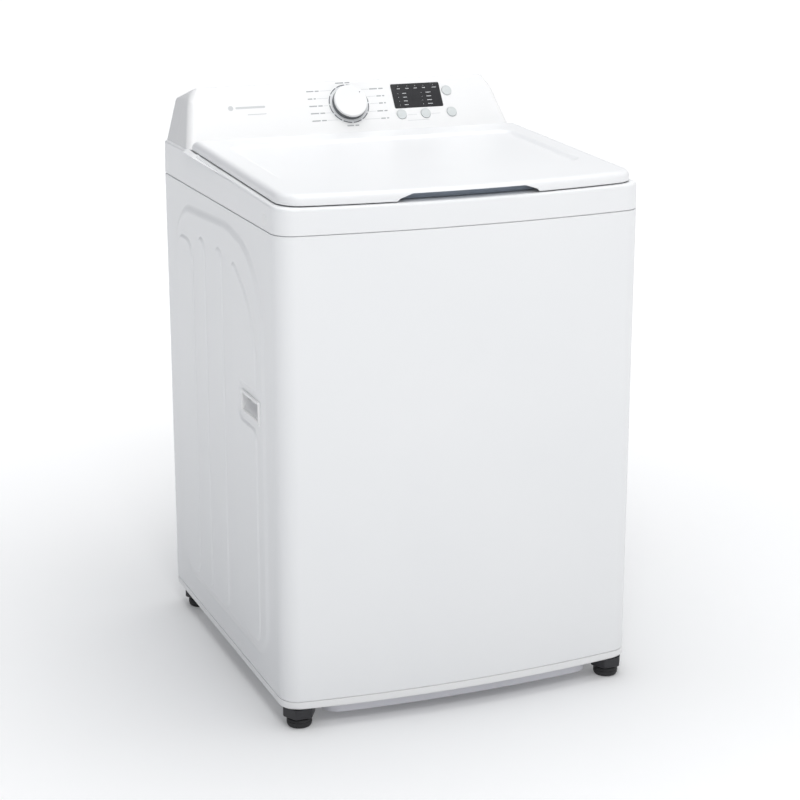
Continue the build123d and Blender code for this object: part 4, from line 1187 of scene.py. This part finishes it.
def console_points():
    """Y and Z of the console's side outline, with a point where its ends change slope."""
    knee = CONSOLE_HALF[1][1]
    foot_y = FACE_Y - (FACE_Z - DECK_Z) / math.tan(FACE_TILT)
    knee_y = FACE_Y + (knee - FACE_Z) / math.tan(FACE_TILT)
    share = (knee - CONSOLE_BACK_Z) / (RIDGE_Z - CONSOLE_BACK_Z)
    back_knee_y = BACK_Y + (RIDGE_Y - BACK_Y) * share
    front = [(foot_y, DECK_Z), (knee_y, knee), (RIDGE_Y, RIDGE_Z)]
    return front + [(back_knee_y, knee), (BACK_Y, CONSOLE_BACK_Z), (BACK_Y, DECK_Z)]


def edge_round(edge):
    """How far one edge of the console is rounded, in metres."""
    a, b = (vert.co for vert in edge.verts)
    if max(a.z, b.z) < DECK_Z + NEAR:
        return 0.0
    if abs(a.x - b.x) > 0.1:
        return 0.009 if min(a.z, b.z) > RIDGE_Z - NEAR else 0.006
    front = max(a.y, b.y) < RIDGE_Y + NEAR
    return WIDEST_ROUND if front else 0.010


def console_shell():
    """Hollow console, open below."""
    skin = Skin()
    hull = skin.mesh
    for y, z in console_points():
        for side in (-1, 1):
            hull.verts.new((side * console_half(z), y, z))
    bmesh.ops.convex_hull(hull, input=hull.verts)
    bmesh.ops.dissolve_limit(hull, angle_limit=math.radians(1.0), verts=hull.verts, edges=hull.edges)
    weights = hull.edges.layers.float.new("bevel_weight_edge")
    for edge in hull.edges:
        edge[weights] = edge_round(edge) / WIDEST_ROUND
    body = skin.piece("console")
    soft = body.modifiers.new("soft_edges", "BEVEL")
    soft.limit_method = "WEIGHT"
    soft.width = WIDEST_ROUND
    soft.segments = 7
    soft.profile = 0.5
    settle(body)
    opened = bmesh.new()
    opened.from_mesh(body.data)
    under = [face for face in opened.faces
             if face.calc_center_median().z < DECK_Z + NEAR and face.normal.z < -0.9]
    bmesh.ops.delete(opened, geom=under, context="FACES")
    opened.to_mesh(body.data)
    opened.free()
    return body


def half_of(body, name, front):
    """One side of the parting line, thickened."""
    part = body.copy()
    part.data = body.data.copy()
    part.name = name
    bpy.context.scene.collection.objects.link(part)
    parted = bmesh.new()
    parted.from_mesh(part.data)
    gap = 0.0 if front else PARTING_GAP
    geometry = list(parted.verts) + list(parted.edges) + list(parted.faces)
    bmesh.ops.bisect_plane(parted, geom=geometry, plane_co=(0, PARTING_Y + gap, 0), plane_no=(0, 1, 0),
                           clear_outer=front, clear_inner=not front)
    parted.to_mesh(part.data)
    parted.free()
    return thicken(part, CONSOLE_WALL)


print("console ridge at y", round(RIDGE_Y, 4), "z", round(RIDGE_Z, 4))

# %% [markdown]
# The control face carries the knob's stem, the display and four buttons. Each needs its own hole, cut
# square to the sloping face, so that the pieces sit in the moulding as they do on the machine.

# %% console pieces
KNOB_AT = (0.0035, 0.068)  # across the face, and up it
WINDOW = (0.0976, 0.2015, 0.052, 0.105)  # low and high across, low and high up
BUTTONS = {"button_start": (0.215, 0.086), "button_temp": (0.109, 0.0395),
           "button_spin": (0.160, 0.039), "button_soil": (0.216, 0.039)}
BUTTON_RADIUS = 0.0103


def face_frame(x, along, out=0.0):
    """Frame that stands on the control face: its Z points out."""
    return FACE @ Matrix.Translation((x, along, out))


def face_cutter(radius, x, along):
    """Round cutter through the control face."""
    skin = Skin()
    profile = [(0.0, -0.01), (radius, -0.01), (radius, 0.01), (0.0, 0.01)]
    turned(skin, profile, steps=48, frame_matrix=face_frame(x, along))
    return skin.piece("cutter")


def window_corners():
    """Outline of the display on the control face."""
    return oblong(WINDOW, 0.003)


shell = console_shell()
fascia = half_of(shell, "console_front", True)
housing = half_of(shell, "console_back", False)
bpy.data.objects.remove(shell)
holes = [face_cutter(0.008, *KNOB_AT)]
holes.append(prism("window_hole", rounded(window_corners()), -0.01, 0.01, FACE))
holes += [face_cutter(BUTTON_RADIUS + 0.0005, *spot) for spot in BUTTONS.values()]
finish_piece(cut(fascia, *holes), "cabinet", "white_plastic", stands_for=("console_fascia",))
finish_piece(housing, "cabinet", "white_plastic", stands_for=("console_rear",))

# %% [markdown]
# ## Knob, dial and buttons
# The programme knob is a white cap on a dark bright-metal skirt, over a pale dial ringed with short
# dark arcs; the dial's light grey, a little darker than the white face, is painted shade round the knob.
# All of them are turned about the control face's own normal; the arcs are separate little strips, so
# that the gaps between them are real.

# %% knob and dial
KNOB_RADIUS = 0.0345
SKIRT_TOP = 0.011
KNOB_TOP = 0.016


def knob_cap():
    """White cap with a softened rim, a shallow dish and a stem."""
    skin = Skin()
    rim = KNOB_RADIUS - 0.0006
    edge = [(rim - 0.0026 + 0.0026 * math.sin(a), KNOB_TOP - 0.0026 + 0.0026 * math.cos(a))
            for a in [math.pi / 2 * step / 8 for step in range(9)]]
    profile = [(0.0, KNOB_TOP - 0.0006), (0.016, KNOB_TOP - 0.0005), (0.027, KNOB_TOP - 0.0001)] + edge
    profile += [(rim, SKIRT_TOP + 0.0004), (rim - 0.0006, SKIRT_TOP + 0.0001),
                (0.009, SKIRT_TOP + 0.0001), (0.009, 0.0018), (0.003, 0.0018), (0.003, -0.009),
                (0.0, -0.009)]
    turned(skin, profile, steps=96, frame_matrix=face_frame(*KNOB_AT))
    return skin.piece("knob_cap")


def knob_skirt():
    """Fluted metal skirt, slightly waisted."""
    skin = Skin()
    frame_matrix = face_frame(*KNOB_AT)
    levels = [(-0.0010, 0.0016), (0.0, 0.0022), (-0.0002, 0.0034), (-0.0009, 0.0060), (-0.0009, 0.0086),
              (-0.0004, 0.0100), (-0.0009, SKIRT_TOP)]
    flutes = 60
    turns = [2 * math.pi * step / (flutes * 4) for step in range(flutes * 4)]

    def place(radius, angle, height):
        return frame_matrix @ Vector((radius * math.cos(angle), radius * math.sin(angle), height))

    rings = []
    for out, height in levels:
        waist = 0.00035 if 0.003 < height < 0.0095 else 0.0
        rings.append([place(KNOB_RADIUS + out + waist * math.cos(flutes * a), a, height) for a in turns])
    for height in (SKIRT_TOP, 0.0016):
        rings.append([place(KNOB_RADIUS - 0.005, a, height) for a in turns])
    skin.shell(rings)
    return skin.piece("knob_metal")


def strip(skin, points, frame_matrix, low, high):
    """Thin raised print with the given outline."""
    skin.solid([[frame_matrix @ Vector((u, v, height)) for u, v in points] for height in (low, high)])


def sector(inner, outer, start, end, steps=8):
    """Outline of a piece of a ring."""
    return arc((0.0, 0.0), outer, start, end, steps) + arc((0.0, 0.0), inner, end, start, steps)


def dial_plate():
    """Pale disc under the knob, its light grey painted shade round the knob."""
    skin = Skin()
    profile = [(0.008, 0.00005), (0.0412, 0.00005), (0.0415, 0.0003), (0.0412, 0.0006),
               (0.037, 0.0010), (0.008, 0.0010)]
    turned(skin, profile, steps=96, closed=True, frame_matrix=face_frame(*KNOB_AT))
    return skin.piece("dial_plate")


def dial_arcs():
    """Twelve dark arcs round the dial, with a gap at each programme."""
    skin = Skin()
    gap = math.radians(2.6)
    for mark in range(12):
        start = math.radians(30 * mark) + gap
        outline = sector(0.0394, 0.0411, start, start + math.radians(30) - 2 * gap)
        strip(skin, outline, face_frame(*KNOB_AT), 0.0005, 0.0011)
    return skin.piece("dial_arcs")


def knob_dot():
    """Pointer dot printed on the cap, towards its upper right."""
    skin = Skin()
    low, high = KNOB_TOP - 0.0004, KNOB_TOP + 0.0001
    profile = [(0.0, low), (0.0011, low), (0.0011, high), (0.0, high)]
    turned(skin, profile, (0.021, 0.017, 0.0), 20, frame_matrix=face_frame(*KNOB_AT))
    return skin.piece("knob_dot")


finish_piece(knob_cap(), "knob", "white_plastic", stands_for=("selector_knob",), angle=40.0)
finish_piece(knob_skirt(), "knob", "silver_trim", ("knob_skirt",), 40.0, weighted=False)
finish_piece(knob_dot(), "knob", "print_dark")
# the dial disc's light grey is painted shade round the knob
finish_piece(dial_plate(), "cabinet", "dial_grey", ("knob_ring",), 40.0)
finish_piece(dial_arcs(), "cabinet", "print_dark")

# %% [markdown]
# Each button is one turned solid: a slightly domed cap, a flange behind the face that keeps it in, and
# the plunger that reaches its switch.

# %% buttons
def push_button(name, x, along):
    """Slightly domed button with a fine rim, its flange and its plunger."""
    skin = Skin()
    edge = [(BUTTON_RADIUS - 0.0010 + 0.0010 * math.sin(a), 0.0008 + 0.0010 * math.cos(a))
            for a in [math.pi / 2 * step / 5 for step in range(6)]]
    profile = [(0.0, 0.0017), (0.0050, 0.0016), (0.0078, 0.0014), (0.0086, 0.0015)] + edge
    flange = BUTTON_RADIUS + 0.0011
    profile += [(BUTTON_RADIUS, -0.0032), (flange, -0.0033), (flange, -0.0052), (0.003, -0.0052),
                (0.003, -0.0082), (0.0, -0.0082)]
    turned(skin, profile, steps=64, frame_matrix=face_frame(x, along))
    return skin.piece(name.replace("button_", "push_"))


for name, spot in BUTTONS.items():
    finish_piece(push_button(name, *spot), name, "button_grey", stands_for=(name,), angle=40.0)

# %% [markdown]
# ## Display and printed marks
# The display is one gloss black lens with a rounded edge. Its lamps and captions, and the captions
# round the dial, are only plain dashes and dots: each caption becomes one or two short bars of about the
# right length, so the layout is right and nothing is written.

# %% display lens
def display_lens():
    """Black lens with a bevelled edge and a seat behind the face."""
    skin = Skin()
    section = ((-0.0007, -0.0046), (-0.0007, -0.0027), (0.0003, -0.0027), (0.0003, 0.0000),
               (0.0004, 0.0003), (0.0008, 0.0005))
    skin.solid([[FACE @ Vector((u, v, height)) for u, v in rounded(window_corners(), inset)]
                for inset, height in section])
    return skin.piece("display_lens")


def window_spot(across, down):
    """A place on the display from its upper left corner, as shares of its width and height."""
    x0, x1, s0, s1 = WINDOW
    return x0 + across * (x1 - x0), s1 - down * (s1 - s0)


def bar(skin, x, along, length, thick, low=-0.0002, high=0.00016):
    """Short printed bar with round ends, from its left end."""
    radius = thick / 2 * 0.98
    outline = rounded(oblong((x, x + length, along - thick / 2, along + thick / 2), radius), 0.0, 3)
    strip(skin, outline, FACE, low, high)


def caption(skin, x, along, length, thick=0.0024):
    """Two bars that stand for a caption, from its left end."""
    first = length * 0.58
    bar(skin, x, along, first, thick)
    bar(skin, x + first + thick, along, length - first - thick, thick)


def display_marks():
    """Lamps and captions of the display."""
    skin = Skin()
    glass = (0.00045, 0.00058)
    for across in (0.15, 0.33, 0.50, 0.67, 0.87):
        x, along = window_spot(across, 0.105)
        bar(skin, x - 0.0006, along, 0.0012, 0.0011, *glass)
        x, along = window_spot(across, 0.205)
        bar(skin, x - 0.0034, along, 0.0068 if across < 0.8 else 0.0095, 0.0013, *glass)
    for row in range(4):
        down = 0.40 + 0.155 * row
        for lamp, words, length in ((0.12, 0.21, 0.0085), (0.60, 0.69, 0.0105)):
            x, along = window_spot(lamp, down)
            bar(skin, x - 0.0006, along, 0.0012, 0.0011, *glass)
            x, along = window_spot(words, down)
            bar(skin, x, along, length, 0.0014, *glass)
    return skin.piece("display_marks")


finish_piece(display_lens(), "cabinet", "display_black", stands_for=("display_window",), angle=25.0)
finish_piece(display_marks(), "cabinet", "print_white", weighted=False)

# %% [markdown]
# The captions stand in two columns beside the dial, joined to it by hairlines. One rounded bar, drawn by
# the same helper each time, does for all of them.

# %% dial captions
DIAL_REACH = 0.0435  # where the hairlines start, from the knob's axis
LEFT_CAPTIONS = [(0.026, 0.0983), (0.017, 0.0823), (0.028, 0.0666), (0.030, 0.0510), (0.030, 0.0353)]
RIGHT_CAPTIONS = [(0.029, 0.0973), (0.017, 0.0814), (0.015, 0.0659), (0.022, 0.0492), (0.017, 0.0332)]
LEFT_EDGE = -0.079
RIGHT_EDGE = 0.081


def dial_captions():
    """Bars on both sides of the dial, above it and below it."""
    skin = Skin()
    for length, along in LEFT_CAPTIONS:
        caption(skin, LEFT_EDGE, along, length)
    for length, along in RIGHT_CAPTIONS:
        caption(skin, RIGHT_EDGE - length, along, length)
    caption(skin, -0.016, 0.1135, 0.030)
    caption(skin, -0.0095, 0.0215, 0.025)
    return skin.piece("dial_captions")


def leader_lines():
    """Hairlines from the dial to its captions, and between the buttons."""
    skin = Skin()
    hair = 0.0007
    gap = 0.002

    def reach(along):
        return math.sqrt(max(0.0, DIAL_REACH ** 2 - (along - KNOB_AT[1]) ** 2))

    for length, along in LEFT_CAPTIONS:
        start = LEFT_EDGE + length + gap
        bar(skin, start, along, KNOB_AT[0] - reach(along) - start, hair)
    for length, along in RIGHT_CAPTIONS:
        end = RIGHT_EDGE - length - gap
        bar(skin, KNOB_AT[0] + reach(along), along, end - KNOB_AT[0] - reach(along), hair)
    bar(skin, 0.122, 0.0375, 0.019, hair)
    bar(skin, 0.172, 0.0375, 0.019, hair)
    bar(skin, 0.119, 0.0253, 0.046, hair)
    return skin.piece("leader_lines")


def maker_bar():
    """A plain bar and a dot where a badge would be."""
    skin = Skin()
    dot = [(0.0, 0.0), (0.0052, 0.0), (0.0052, 0.00014), (0.0, 0.00014)]
    turned(skin, dot, (-0.2375, 0.0715, 0.0), 32, frame_matrix=FACE)
    bar(skin, -0.2280, 0.0715, 0.060, 0.0044)
    bar(skin, -0.2060, 0.0565, 0.038, 0.0016)
    return skin.piece("plain_badge")


finish_piece(dial_captions(), "cabinet", "print_grey", weighted=False)
finish_piece(leader_lines(), "cabinet", "print_pale", weighted=False)
finish_piece(maker_bar(), "cabinet", "print_pale", weighted=False)

# %% [markdown]
# ## Hanging tub and spin basket
# Under the open lid one sees, from the outside in: the splash ring on the tub, the balance ring of the
# basket, the pierced stainless drum and the wash plate. The rings are turned profiles with moulded ribs.

# %% rings
TUB_Y = -0.015
TUB_AXIS = (0.0, TUB_Y, 0.0)


def polar(radius, angle, height):
    """A point about the tub's axis."""
    return Vector((radius * math.cos(angle), TUB_Y + radius * math.sin(angle), height))


def spokes(count, inner, outer, low, high, half_width, lean=0.0):
    """Evenly spaced moulded ribs about the tub's axis, with chamfered tops."""
    skin = Skin()
    for number in range(count):
        angle = 2 * math.pi * number / count
        rings = []
        for level, slim in ((low, 1.0), (high - 0.0008, 1.0), (high, 0.5)):
            ring = []
            for radius, side in ((inner, -1), (outer, -1), (outer, 1), (inner, 1)):
                turn = angle + lean * (radius - inner) + side * slim * half_width / radius
                ring.append(polar(radius, turn, level))
            rings.append(ring)
        skin.solid(rings)
    return skin.piece("ribs")


def tub_collar():
    """Splash ring: a flat collar with a rolled inner lip and a skirt over the tub."""
    low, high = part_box("tub_ring")
    outer, top = high.x, high.z
    profile = [(outer, low.z), (outer, top - 0.005), (outer - 0.0015, top - 0.0035),
               (outer - 0.004, top - 0.003), (0.2475, top - 0.003), (0.2450, top - 0.0018),
               (0.2425, top - 0.0004), (0.2400, top), (0.2380, top - 0.0008), (0.2372, top - 0.003),
               (0.2372, top - 0.0075), (0.2394, top - 0.0075), (0.2400, top - 0.0060),
               (outer - 0.0032, top - 0.0060), (outer - 0.0028, low.z)]
    skin = Skin()
    turned(skin, profile, TUB_AXIS, 96, closed=True)
    ribs = spokes(36, 0.250, outer - 0.006, top - 0.0034, top - 0.0012, 0.0012)
    return joined(skin.piece("splash_collar"), ribs)


def balance_hoop():
    """Balance ring: a fat hollow ring with rounded shoulders and short grip ribs inside."""
    low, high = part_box("balance_ring")
    outer, top = high.x, high.z
    inner = 0.233
    neck = 0.2535
    profile = [(inner, 0.802), (inner, top - 0.009), (inner + 0.0012, top - 0.0045),
               (inner + 0.004, top - 0.0014), (inner + 0.0075, top), (outer - 0.008, top),
               (outer - 0.0035, top - 0.0015), (outer - 0.0008, top - 0.005), (outer, top - 0.009),
               (outer, 0.8004), (neck, 0.8004), (neck, low.z + 0.0006), (inner + 0.008, low.z + 0.0006),
               (inner + 0.003, 0.7945)]
    skin = Skin()
    turned(skin, profile, TUB_AXIS, 96, closed=True)
    ribs = spokes(24, inner + 0.0075, outer - 0.0065, top - 0.0012, top - 0.0001, 0.0035, 6.0)
    return joined(skin.piece("balance_hoop"), ribs)


finish_piece(tub_collar(), "tub", "grey_plastic", stands_for=("tub_ring",), weighted=False)
finish_piece(balance_hoop(), "basket", "light_plastic", ("balance_ring",),
             weighted=False)

# %% [markdown]
# The drum is a grid of square cells rolled into a cylinder. Most cells have an eight-sided hole in the
# middle, so light and water really pass through the wall, and every eighth column has pressed dimples
# instead. Plain beaded bands finish it above and below.

# %% drum
def drum():
    """Pierced stainless drum, rolled from a grid of cells."""
    low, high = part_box("basket_wall")
    radius = high.x
    columns = 48
    rows = 14
    hole = 0.0042
    start = low.z + 0.030
    pitch = (high.z - 0.034 - start) / rows
    skin = Skin()

    def level(index):
        return start + pitch * index / 2

    turns = [math.pi * column / columns for column in range(2 * columns)]
    grid = [skin.ring([polar(radius, angle, level(row)) for angle in turns]) for row in range(2 * rows + 1)]
    around = ((0, 0), (1, 0), (2, 0), (2, 1), (2, 2), (1, 2), (0, 2), (0, 1))
    for row in range(rows):
        for column in range(columns):
            cell = [grid[2 * row + up][(2 * column + across) % (2 * columns)] for across, up in around]
            middle = math.pi * (2 * column + 1) / columns
            height = level(2 * row + 1)
            if column % 8 == 0:
                hub = skin.mesh.verts.new(polar(radius - 0.0045, middle, height))
                for a, b in zip(cell, cell[1:] + cell[:1]):
                    skin.mesh.faces.new((a, b, hub))
                continue
            rim = []
            for across, up in around:
                spot = Vector((across - 1, up - 1)).normalized() * hole
                rim.append(polar(radius, middle + spot.x / radius, height + spot.y))
            skin.band(cell, skin.ring(rim))
    bead = 0.0022
    foot = ((0.0, low.z + 0.004), (0.0, low.z + 0.012), (bead, low.z + 0.017), (0.0, low.z + 0.022))
    head = ((0.0, high.z - 0.026), (bead, high.z - 0.020), (0.0, high.z - 0.014), (0.0, high.z - 0.0004))
    below = [skin.ring([polar(radius - inset, angle, z) for angle in turns]) for inset, z in foot]
    above = [skin.ring([polar(radius - inset, angle, z) for angle in turns]) for inset, z in head]
    for rings in (below + [grid[0]], [grid[-1]] + above):
        for first, second in zip(rings, rings[1:]):
            skin.band(first, second)
    return thicken(skin.piece("pierced_drum"), 0.0011)


finish_piece(drum(), "basket", "stainless", stands_for=("basket_wall",), weighted=False)

# %% [markdown]
# The wash plate is one polar height field: a shallow dish with three long swept fins that swell out of
# it and fade towards the rim, exactly the kind of surface that is moulded in one shot. A separate
# fluted cap hides its screw.

# %% wash plate
FINS = 3
FIN_SWEEP = 1.1  # how far a fin turns from the hub to the rim, in radians
FIN_FOOT = 0.45  # the larger it is, the narrower the fins
RIPPLES = 24


def wash_plate():
    """Dished plate with three swept fins and a shallow ripple between them."""
    low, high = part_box("impeller")
    reach = high.x
    hub = 0.030
    angles = [2 * math.pi * turn / 192 for turn in range(192)]
    rings = []
    for step in range(33):
        share = step / 32
        radius = hub + (reach - 0.002 - hub) * share
        ring = []
        for angle in angles:
            wave = math.cos(FINS / 2 * (angle - FIN_SWEEP * share)) ** 2
            crest = max(0.0, wave - FIN_FOOT) / (1 - FIN_FOOT)
            fade = math.sin(math.pi * min(1.0, 0.18 + share * 0.80)) ** 0.8
            ripple = 0.0007 * math.cos(RIPPLES * angle - 5.0 * share) * math.sin(math.pi * share)
            dish = low.z + 0.0085 + 0.0045 * share ** 2
            fin = (high.z - low.z - 0.016) * fade * crest ** 1.6
            ring.append(polar(radius, angle, dish + ripple + fin))
        rings.append(ring)
    under = ((reach, low.z + 0.0105), (reach, low.z + 0.0015), (reach - 0.002, low.z), (hub, low.z))
    for radius, height in under:
        rings.append([polar(radius, angle, height) for angle in angles])
    skin = Skin()
    skin.shell(rings)
    return skin.piece("wash_plate")


def plate_cap():
    """Domed cap over the plate's screw, with twelve flutes."""
    low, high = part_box("impeller_cap")
    radius = min(high.x, 0.040)
    angles = [2 * math.pi * turn / 144 for turn in range(144)]
    rings = []
    for share in (1.0, 0.985, 0.93, 0.82, 0.66, 0.46, 0.26, 0.10):
        height = low.z + (high.z - low.z) * math.sqrt(max(0.0, 1 - share ** 3))
        ring = []
        for angle in angles:
            flute = 1 - 0.035 * share ** 2 * (0.5 + 0.5 * math.cos(12 * angle))
            ring.append(polar(radius * share * flute, angle, height))
        rings.append(ring)
    skin = Skin()
    skin.solid(rings)
    return skin.piece("plate_cap")


for piece, node in ((wash_plate(), "impeller"), (plate_cap(), "impeller_cap")):
    finish_piece(piece, "wash_drive", "light_plastic", (node,), 60.0, weighted=False)

# %% [markdown]
# ## Suspension springs
# The four coil springs are the only parts that change shape: their lower ends rest on the rods, which
# hang from the cabinet, and their upper ends carry the tub. One mesh holds all four, wound round the
# rods.

# %% springs
SPRING_LOW = 0.2362
SPRING_HIGH = 0.3298
SPRING_RADIUS = 0.0150
WIRE = 0.0018
ROD_SPOTS = [(x, TUB_Y + y) for x in (-0.262, 0.262) for y in (-0.262, 0.262)]


def coil(skin, x, y, coils=7.0, steps=20, sides=8):
    """One helical wire whose first and last half coils lie flat."""
    span = SPRING_HIGH - SPRING_LOW - 2 * WIRE
    count = int(coils * steps)
    flat = 0.07
    rings = []
    for step in range(count + 1):
        share = step / count
        angle = 2 * math.pi * coils * share
        eased = min(1.0, max(0.0, (share - flat) / (1 - 2 * flat)))
        height = SPRING_LOW + WIRE + span * eased
        out = Vector((math.cos(angle), math.sin(angle), 0.0))
        centre = Vector((x, y, height)) + out * SPRING_RADIUS
        ring = []
        for side in range(sides):
            turn = 2 * math.pi * side / sides
            rise = Vector((0.0, 0.0, WIRE * math.sin(turn)))
            ring.append(centre + out * WIRE * math.cos(turn) + rise)
        rings.append(ring)
    skin.solid(rings)


def coil_springs():
    """All four suspension springs."""
    skin = Skin()
    for x, y in ROD_SPOTS:
        coil(skin, x, y)
    return skin.piece("coil_springs")


springs = coil_springs()
springs.data.materials.append(MATERIALS["steel"])
springs.data.shade_smooth()
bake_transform(springs)
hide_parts("suspension_springs")
print("coil_springs faces", len(springs.data.polygons))

# %% [markdown]
# ## Rear panel and hose connectors
# The rear is closed by a zinc-coated sheet that is pressed inward over most of its area and outward
# again along three beads, which keeps a thin sheet from drumming. It is drawn like the side pressings.
# The two connectors get their thread as a row of small ridges over the plain tubes of the valve.

# %% rear panel
SINK = 0.0035
REAR_HOLES = (("drain_outlet", 0.0155), ("cord_gland", 0.0095))  # what passes through, hole radius


def rear_sheet():
    """Rear panel with a sunk field, three beads and the two holes for drain and cable."""
    low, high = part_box("rear_panel")
    skin = Skin()

    def pressing(box, radius, width, start, depth):
        outline = oblong(box, radius)
        return skin.stack([[(x, start + depth * level, z) for x, z in rounded(outline, inset, 8)]
                           for inset, level in swell(width, 1.0)])

    outline = rounded(oblong((low.x, high.x, low.z, high.z), 0.004))
    edge = skin.ring([(x, high.y, z) for x, z in outline])
    sunk_box = (low.x + 0.030, high.x - 0.030, low.z + 0.045, high.z - 0.130)
    field = pressing(sunk_box, 0.030, 0.010, high.y, -SINK)
    holes = []
    for name, radius in REAR_HOLES:
        near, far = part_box(name)
        circle = arc(((near.x + far.x) / 2, (near.z + far.z) / 2), radius, 0.0, 2 * math.pi, 32)[:-1]
        holes.append(skin.ring([(x, high.y, z) for x, z in circle]))
    skin.fill(edge, field[0], *holes)
    beads = []
    for x in (-0.19, 0.0, 0.19):
        box = (x - 0.030, x + 0.030, low.z + 0.095, high.z - 0.180)
        bead = pressing(box, 0.0295, 0.008, high.y - SINK, 0.0033)
        skin.fill(bead[-1])
        beads.append(bead[0])
    skin.fill(field[-1], *beads)
    sheet = skin.piece("rear_sheet")
    wall = sheet.modifiers.new("wall", "SOLIDIFY")
    wall.thickness = SHEET
    wall.offset = -1.0 if sheet.data.polygons[0].normal.y > 0 else 1.0
    return settle(sheet)


def hose_threads():
    """Ridges of the two hose connectors."""
    start_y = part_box("inlet_valve")[1].y - 0.0168
    core, root, crest = 0.0128, 0.01335, 0.01372  # radii
    pitch = 0.0022
    profile = [(core, 0.0)]
    for turn in range(7):
        start = pitch * turn
        profile += [(root, start + 0.0002), (crest, start + 0.0008), (crest, start + 0.0011),
                    (root, start + 0.0017)]
    profile.append((core, pitch * 7))
    skin = Skin()
    for x in HOSE_SPOTS:
        place = Matrix.Translation((x, start_y, HOSE_Z)) @ Matrix.Rotation(-math.pi / 2, 4, "X")
        turned(skin, profile, steps=48, closed=True, frame_matrix=place)
    return skin.piece("hose_threads")


finish_piece(rear_sheet(), "cabinet", "galvanised", stands_for=("rear_panel",), angle=50.0)
finish_piece(hose_threads(), "cabinet", "white_plastic", angle=30.0, weighted=False)

# %% [markdown]
# ## Everything else
# The remaining nodes keep their exact shape and only get their finish: the slot each one has in the
# record names it.

# %% finishes of the remaining nodes
painted = 0
for subpart in frame["record"]["subparts"]:
    node = bpy.data.objects.get(subpart["node"])
    if node is None or node.type != "MESH":
        continue
    for held in node.material_slots:
        held.material = MATERIALS[subpart["material_slot"]]
        painted += 1
print("nodes painted", painted)

# %% [markdown]
# ## Floor
# The machine stands on a plain sheet of pale paper. The paper also glows a little, more with distance, so
# that it stays pale far away from the lights and only the machine's own soft shadow darkens it.

# %% floor
FLOOR_REACH = 24.0
FAR_GLOW = 0.66
GLOW_RATE = 0.4  # per metre: the glow is full at 2.5 m from the machine's middle


def floor():
    """Pale studio floor."""
    skin = Skin()
    corners = ((-1, -1), (1, -1), (1, 1), (-1, 1))
    skin.cap(skin.ring([(x * FLOOR_REACH, y * FLOOR_REACH, 0.0) for x, y in corners]))
    ground = skin.piece("floor")
    paint = Finish("floor_paper", Specular_IOR_Level=0.2, Emission_Strength=1.0)
    clouds = paint.noise(0.8, 2.0)
    paint.feed("Base Color", paint.blend(clouds, (0.79, 0.795, 0.80), (0.81, 0.815, 0.82)))
    paint.feed("Roughness", 0.7 + clouds * 0.1)
    inputs = {"Vector": paint.stretched(GLOW_RATE, GLOW_RATE, GLOW_RATE)}
    near = paint.node("ShaderNodeTexGradient", {"gradient_type": "SPHERICAL"}, inputs, "Fac")
    paint.feed("Emission Color", paint.blend(near, (FAR_GLOW, FAR_GLOW, FAR_GLOW), (0.0, 0.0, 0.0)))
    ground.data.materials.append(paint.material)


floor()
print("floor reaches", FLOOR_REACH, "m each way")
